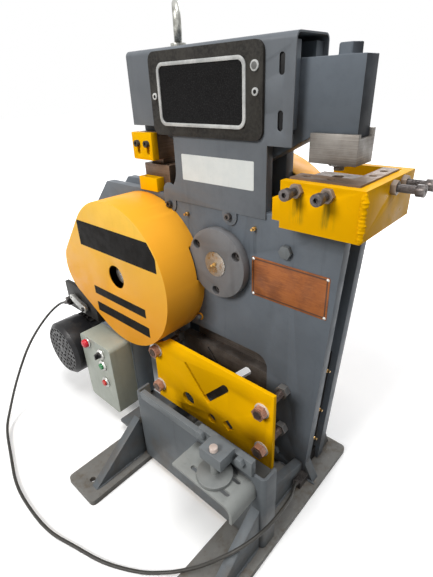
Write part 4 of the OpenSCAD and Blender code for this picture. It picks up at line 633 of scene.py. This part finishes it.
# Width in millimetres and number of segments of each bevel
bevels = {
    (7.0, 4): ("box_lid",),
    (2.2, 2): ("rocker_beam", "die_table"),
    (2.0, 2): ("control_box", "notch_clamp"),
    (1.8, 2): ("bearing_flange",),
    (1.6, 3): ("start_button", "stop_button", "selector"),
    (1.6, 2): ("notch_plate", "left_foot", "right_foot"),
    (1.4, 3): ("gear_guard",),
    (1.4, 2): ("gussets", "panel_bars", "holddown_block"),
    (1.2, 2): ("front_plate", "rear_plate", "shear_plate", "punch_holder", "die_bars", "notch_die",
               "holddown_screw", "tie_bolts", "motor_bracket", "pedal", "pedal_bracket",
               "rear_cover"),
    (1.0, 2): ("notch_tool", "base_panel", "work_shelf", "badge_plate", "die_screws",
               "motor_cowl", "clutch_lever"),
    (0.9, 2): ("hex_nuts",),
    (0.8, 2): ("head_cover", "socket_screws", "lid_fittings", "lifting_eye"),
    (0.6, 2): ("punch",),
    (0.6, 1): ("cable_ferrules",),
    (0.4, 1): ("grease_nipples",),
}
soft_edges = {name: size for size, members in bevels.items() for name in members}
for name, obj in nodes.items():
    weld = obj.modifiers.new("weld", "WELD")
    weld.merge_threshold = 0.02 * MM
    if name in soft_edges:
        flat = obj.modifiers.new("flat", "DECIMATE")
        flat.decimate_type = "DISSOLVE"
        flat.angle_limit = math.radians(0.6)
        add_bevel(obj, *soft_edges[name])
    add_shading(obj)


# Detail pieces
def piece(name, bm, material, body="frame", bevel=0.0):
    data = bpy.data.meshes.new(name)
    bmesh.ops.recalc_face_normals(bm, faces=bm.faces)
    bm.to_mesh(data)
    bm.free()
    obj = bpy.data.objects.new(name, data)
    scene.collection.objects.link(obj)
    data.materials.append(material)
    if bevel:
        add_bevel(obj, bevel, 2)
    add_shading(obj)
    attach(obj, body)


def bridge(bm, a, b):
    """Faces between two closed rings of points."""
    for i in range(len(a)):
        k = (i + 1) % len(a)
        bm.faces.new((a[i], a[k], b[k], b[i]))


def ring_at(bm, outline, y):
    return [bm.verts.new((x * MM, y * MM, z * MM)) for x, z in outline]


def prism(bm, outline, y0, y1):
    """Solid from an outline in X and Z, in millimetres, between two depths."""
    front, back = ring_at(bm, outline, y0), ring_at(bm, outline, y1)
    bm.faces.new(front)
    bm.faces.new(back[::-1])
    bridge(bm, back, front)


def lathe(bm, profile, centre, axis, count):
    """Turned solid from (radius, height) pairs along an axis, in millimetres."""
    axis = Vector(axis).normalized()
    side = axis.orthogonal().normalized()
    other = axis.cross(side)
    rings = []
    for r, h in profile:
        ring = []
        for i in range(count):
            a = 2 * math.pi * i / count
            out = side * math.cos(a) + other * math.sin(a)
            ring.append(bm.verts.new((Vector(centre) + axis * h + out * r) * MM))
        rings.append(ring)
    for a, b in zip(rings, rings[1:]):
        bridge(bm, a, b)
    bm.faces.new(rings[0][::-1])
    bm.faces.new(rings[-1])


def clip(outline, keep):
    """Convex outline cut to another convex outline, both running the same way."""
    out = outline
    for (ax, az), (bx, bz) in zip(keep, keep[1:] + keep[:1]):
        todo, out = out, []
        for p, q in zip(todo, todo[1:] + todo[:1]):
            here = (bx - ax) * (p[1] - az) - (bz - az) * (p[0] - ax)
            there = (bx - ax) * (q[1] - az) - (bz - az) * (q[0] - ax)
            if here >= 0:
                out.append(p)
            if (here >= 0) != (there >= 0):
                s = here / (here - there)
                out.append((p[0] + s * (q[0] - p[0]), p[1] + s * (q[1] - p[1])))
    return out


def rounded(x0, z0, x1, z1, r, steps=5):
    """Rectangle with round corners."""
    corners = ((x1 - r, z1 - r), (x0 + r, z1 - r), (x0 + r, z0 + r), (x1 - r, z0 + r))
    out = []
    for quarter, (x, z) in enumerate(corners):
        for i in range(steps + 1):
            a = math.radians(90 * quarter + 90 * i / steps)
            out.append((x + r * math.cos(a), z + r * math.sin(a)))
    return out


def grow(box, d):
    """Box of two corners, made larger on all sides, or smaller where d is negative."""
    x0, z0, x1, z1 = box
    return x0 - d, z0 - d, x1 + d, z1 + d


# Blank black bands on the guard face
def band_material():
    t = Tree("band_black")
    c = t.mottled((15, 14, 14), (32, 30, 28), 35, 5.0, 0.65)
    c = t.mix(t.span(t.noise(120, 6.0, 0.75), 0.63, 0.72, 0.0, 0.5), c, lin(150, 104, 40))
    t.bump(t.noise(320, 3.0), 0.1, 0.0004)
    t.set("Specular IOR Level", 0.04)
    return t.done(c, t.span(t.noise(40, 4.0), 0.3, 0.7, 0.38, 0.56))


band = band_material()
guard_face = []
for i in range(72):
    a = 2 * math.pi * i / 72
    guard_face.append((GUARD_CENTRE[0] + GUARD_FACE_RADIUS * math.cos(a),
                       GUARD_CENTRE[1] + GUARD_FACE_RADIUS * math.sin(a)))
bands = ((-537, 640, -154, 724), (-502, 470, -230, 500), (-501, 403, -222, 438))
for i, (x0, z0, x1, z1) in enumerate(bands):
    bm = bmesh.new()
    prism(bm, clip([(x0, z0), (x1, z0), (x1, z1), (x0, z1)], guard_face), -8.5, -7.9)
    piece("guard_band_%d" % i, bm, band)


# Blank white label on the apron
def label_material():
    t = Tree("label_white")
    c = t.mottled((206, 212, 212), (228, 231, 229), 40, 5.0, 0.6)
    runs = t.span(t.noise(1.0, 4.0, 0.6, (50, 50, 6)), 0.58, 0.76, 0.0, 0.3)
    c = t.mix(runs, c, lin(150, 148, 140))
    c = t.mix(t.span(t.cells(140), 0.05, 0.08, 0.4, 0.0), c, lin(120, 116, 108))
    t.bump(t.noise(500, 2.0), 0.06, 0.0003)
    return t.done(c, t.span(t.noise(30), 0.3, 0.7, 0.3, 0.45))


bm = bmesh.new()
prism(bm, rounded(*LABEL, 3), 137.4, 138.05)
piece("apron_label", bm, label_material())


# Blank copper rating plate with a dark frame line and four rivets
def rating_material():
    t = Tree("rating_copper")
    c = t.mix(t.span(t.noise(16, 5.0, 0.6), 0.35, 0.68), lin(116, 60, 16), lin(152, 84, 26))
    brushed = t.span(t.noise(1.0, 4.0, 0.6, (30, 30, 420)), 0.45, 0.7, 0.0, 0.35)
    c = t.mix(brushed, c, lin(184, 112, 48))
    c = t.mix(t.span(t.noise(60, 6.0, 0.7), 0.55, 0.75, 0.0, 0.5), c, lin(104, 56, 22))
    frames = []
    for margin in (4, 8):
        x0, z0, x1, z1 = grow(RATING_PLATE, -margin)
        frames.append(t.box((x0, x1), None, (z0, z1), 0.5))
    c = t.mix(t.times(t.math("SUBTRACT", *frames), 0.85), c, lin(54, 30, 16))
    t.set("Metallic", 0.2)
    t.bump(t.noise(240, 3.0), 0.1, 0.0003)
    return t.done(c, t.span(t.noise(30, 4.0), 0.3, 0.7, 0.34, 0.52))


bm = bmesh.new()
prism(bm, rounded(*RATING_PLATE, 4), RATING_FACE, 142.05)
piece("rating_plate", bm, rating_material(), bevel=0.3)
bm = bmesh.new()
rivet = [(4.2, 0), (4.2, 0.8), (3.4, 1.9), (1.8, 2.6), (0.2, 2.8)]
x0, z0, x1, z1 = grow(RATING_PLATE, -5.5)
for x in (x0, x1):
    for z in (z0, z1):
        lathe(bm, rivet, (x, RATING_FACE, z), FRONT, 16)
piece("plate_rivets", bm, mats["fitting"])

# Brass nipple on the shaft end, turning with the shaft
bm = bmesh.new()
lathe(bm, [(6.0, 0), (6.0, 6.5)], SHAFT_END, FRONT, 6)
head = [(3.4, 6.5), (3.4, 9), (2.4, 10), (2.4, 12), (3.6, 13), (3.6, 15), (2.2, 17), (0.4, 17.4)]
lathe(bm, head, SHAFT_END, FRONT, 16)
piece("shaft_nipple", bm, mats["brass"], body="crank", bevel=0.3)


# Weld beads
def bead(bm, a, b, r, out, seed, ripple=5.5):
    """Lumpy half-round run between two points, in millimetres, swelling the way of out."""
    a, b, out = Vector(a), Vector(b), Vector(out).normalized()
    d = b - a
    side = d.normalized().cross(out)
    count = max(6, int(d.length / 1.6))
    rings = []
    for i in range(count + 1):
        s = i / count
        run = s * d.length
        p = a + d * s
        swell = r * (1 + 0.07 * math.sin(run * 2 * math.pi / ripple)
                     + 0.5 * noise.noise(Vector((run * 0.11, seed, 0.0))))
        swell *= min(1.0, 0.35 + 6 * min(s, 1 - s))
        ring = []
        for k in range(9):
            ang = math.radians(-100 + 25 * k)
            rough = 1 + 0.3 * noise.noise(Vector((run * 0.3, k * 0.7, seed)))
            reach = out * math.cos(ang) * 0.7 + side * math.sin(ang)
            ring.append(bm.verts.new((p + reach * swell * rough) * MM))
        rings.append(ring)
    for u, v in zip(rings, rings[1:]):
        bridge(bm, u, v)
    bm.faces.new(rings[0])
    bm.faces.new(rings[-1][::-1])


bm = bmesh.new()
bead(bm, (355, 77, 816), (355, 77, 911), 6.5, (1, -1, 0), 1.3, 7.0)
bead(bm, (352, 79, 816), (352, 74.5, 910), 5.0, (0.3, -1, 0), 2.7, 6.0)
piece("table_weld", bm, mats["table"])
bm = bmesh.new()
half = 13
up_front = (0, -1, 1)
for gusset, web in ((-203, -203), (263, 233)):
    for dx in (-half, half):
        up_side = (dx, 0, half)
        x = gusset + dx
        bead(bm, (x, -294, FOOT_TOP), (x, -114, FOOT_TOP), 4.0, up_side, 3.1 + dx)
        x = web + dx
        bead(bm, (x, -102, FOOT_TOP), (x, 140, FOOT_TOP), 4.0, up_side, 4.1 + dx)
    bead(bm, (web - 60, 141, FOOT_TOP), (web + 60, 141, FOOT_TOP), 4.5, up_front, 5.2 + half)
    bead(bm, (gusset - 10, -113, FOOT_TOP), (gusset + 12, -113, FOOT_TOP), 4.0, up_front,
         6.2 + half)
piece("base_welds", bm, mats["base"])
bm = bmesh.new()
bead(bm, (-640, 141, 334), (-584, 141, 334), 4.0, (0, -1, -1), 7.7)
bead(bm, (-582, 141, 351), (-582, 141, 391), 4.0, (1, -1, 0), 8.3)
piece("bracket_welds", bm, mats["base"])

# Lid seam: two thin rims where the lid meets the box
bm = bmesh.new()
outer, inner = rounded(*grow(BOX, 1.6), 17.5), rounded(*grow(BOX, -1), 15)
for y0, y1 in ((4.6, 6.4), (7.6, 9.4)):
    section = ((outer, y0), (outer, y1), (inner, y1), (inner, y0))
    rings = [ring_at(bm, outline, y) for outline, y in section]
    for a, b in zip(rings, rings[1:] + rings[:1]):
        bridge(bm, a, b)
piece("lid_seam", bm, mats["box"], bevel=0.4)

# Bright rings round the lid fittings, and a glossy lamp lens
bm = bmesh.new()
for (x, z), r in ((LAMP, 13.4), *((place, 15.2) for place in CONTROLS)):
    lathe(bm, [(r, 0), (r + 4.4, 0), (r + 4.4, 3.2), (r + 3.4, 4.6), (r + 1.4, 6.4), (r, 6.4)],
          (x, LID_FACE, z), FRONT, 32)
piece("lid_rings", bm, mats["fitting"], bevel=0.4)
bm = bmesh.new()
lathe(bm, [(13.6, 5), (15.6, 7), (15.9, 11), (15.2, 16), (12.6, 19.5), (7.5, 21.6), (0.4, 22.2)],
      (LAMP[0], LID_FACE, LAMP[1]), FRONT, 32)
piece("lamp_lens", bm, mats["lens"])

# Cable gland under the control box
bm = bmesh.new()
gland, below = (-500, 40, 54), (0, 0, -1)
lathe(bm, [(13, 0), (13, 7)], gland, below, 6)
lathe(bm, [(10.5, 7), (10.5, 12), (9, 16), (6.5, 18), (4.5, 18)], gland, below, 20)
piece("box_gland", bm, mats["black"], bevel=0.5)

# Floor, backdrop and light
floor_data = bpy.data.meshes.new("floor")
floor_corners = [(-20, -20, 0), (20, -20, 0), (20, 20, 0), (-20, 20, 0)]
floor_data.from_pydata(floor_corners, [], [(0, 1, 2, 3)])
floor = bpy.data.objects.new("floor", floor_data)
scene.collection.objects.link(floor)


def seen_rays(tree):
    """1 for camera, glossy and transmission rays."""
    path = tree.nodes.new("ShaderNodeLightPath")
    out = path.outputs["Is Camera Ray"]
    for name in ("Is Glossy Ray", "Is Transmission Ray"):
        m = tree.nodes.new("ShaderNodeMath")
        m.operation = "MAXIMUM"
        tree.links.new(out, m.inputs[0])
        tree.links.new(path.outputs[name], m.inputs[1])
        out = m.outputs[0]
    return out


# The floor is pale to the eye, greyer to bounced light, with painted shadow under the machine,
# white far away
t = Tree("floor")
far = t.span(t.vec("LENGTH", t.coord), 0.7, 2.2)
# Painted shadow: dark floor with no glow under the machine and under the drive
under = t.math("MAXIMUM", t.box((-180, 215), (-100, 235), None, 25),
               t.box((-650, -440), (170, 290), None, 60))
pale = t.times(seen_rays(t.tree), t.math("SUBTRACT", 1.0, under))
t.set("Emission Color", (1.0, 1.0, 1.0, 1.0))
t.set("Emission Strength", t.times(pale, t.math("MULTIPLY_ADD", far, 0.6, 0.14)))
drift = t.span(t.noise(9, 5.0), 0.3, 0.7)
floor_look = t.mix(drift, (0.93, 0.93, 0.93, 1.0), (0.96, 0.96, 0.96, 1.0))
floor_data.materials.append(t.done(t.mix(pale, (0.2, 0.2, 0.19, 1.0), floor_look), 0.9))

world = bpy.data.worlds.new("world")
world.use_nodes = True
tree = world.node_tree
sky = tree.nodes["Background"]
sky.inputs["Color"].default_value = (0.96, 0.98, 1.0, 1)
sky.inputs["Strength"].default_value = 0.25
white = tree.nodes.new("ShaderNodeBackground")
white.inputs["Color"].default_value = (1, 1, 1, 1)
white.inputs["Strength"].default_value = 1.0
pick = tree.nodes.new("ShaderNodeMixShader")
tree.links.new(seen_rays(tree), pick.inputs[0])
tree.links.new(sky.outputs[0], pick.inputs[1])
tree.links.new(white.outputs[0], pick.inputs[2])
tree.links.new(pick.outputs[0], tree.nodes["World Output"].inputs["Surface"])
scene.world = world

lamp_target = Vector((-0.15, 0.1, 0.55))
for name, place, size, power, colour in (
        ("key", (-1.0, -6.0, 4.9), 2.4, 400, (1.0, 0.98, 0.95)),
        ("top", (1.6, -0.4, 6.0), 2.4, 190, (1.0, 1.0, 1.0)),
        ("back", (-1.4, 5.6, 4.0), 3.0, 130, (0.97, 0.98, 1.0))):
    lamp = bpy.data.lights.new(name, "AREA")
    lamp.energy = power
    lamp.size = size
    lamp.color = colour
    obj = bpy.data.objects.new(name, lamp)
    obj.location = place
    obj.rotation_euler = (lamp_target - Vector(place)).to_track_quat("-Z", "Y").to_euler()
    scene.collection.objects.link(obj)

scene.view_settings.view_transform = "Standard"
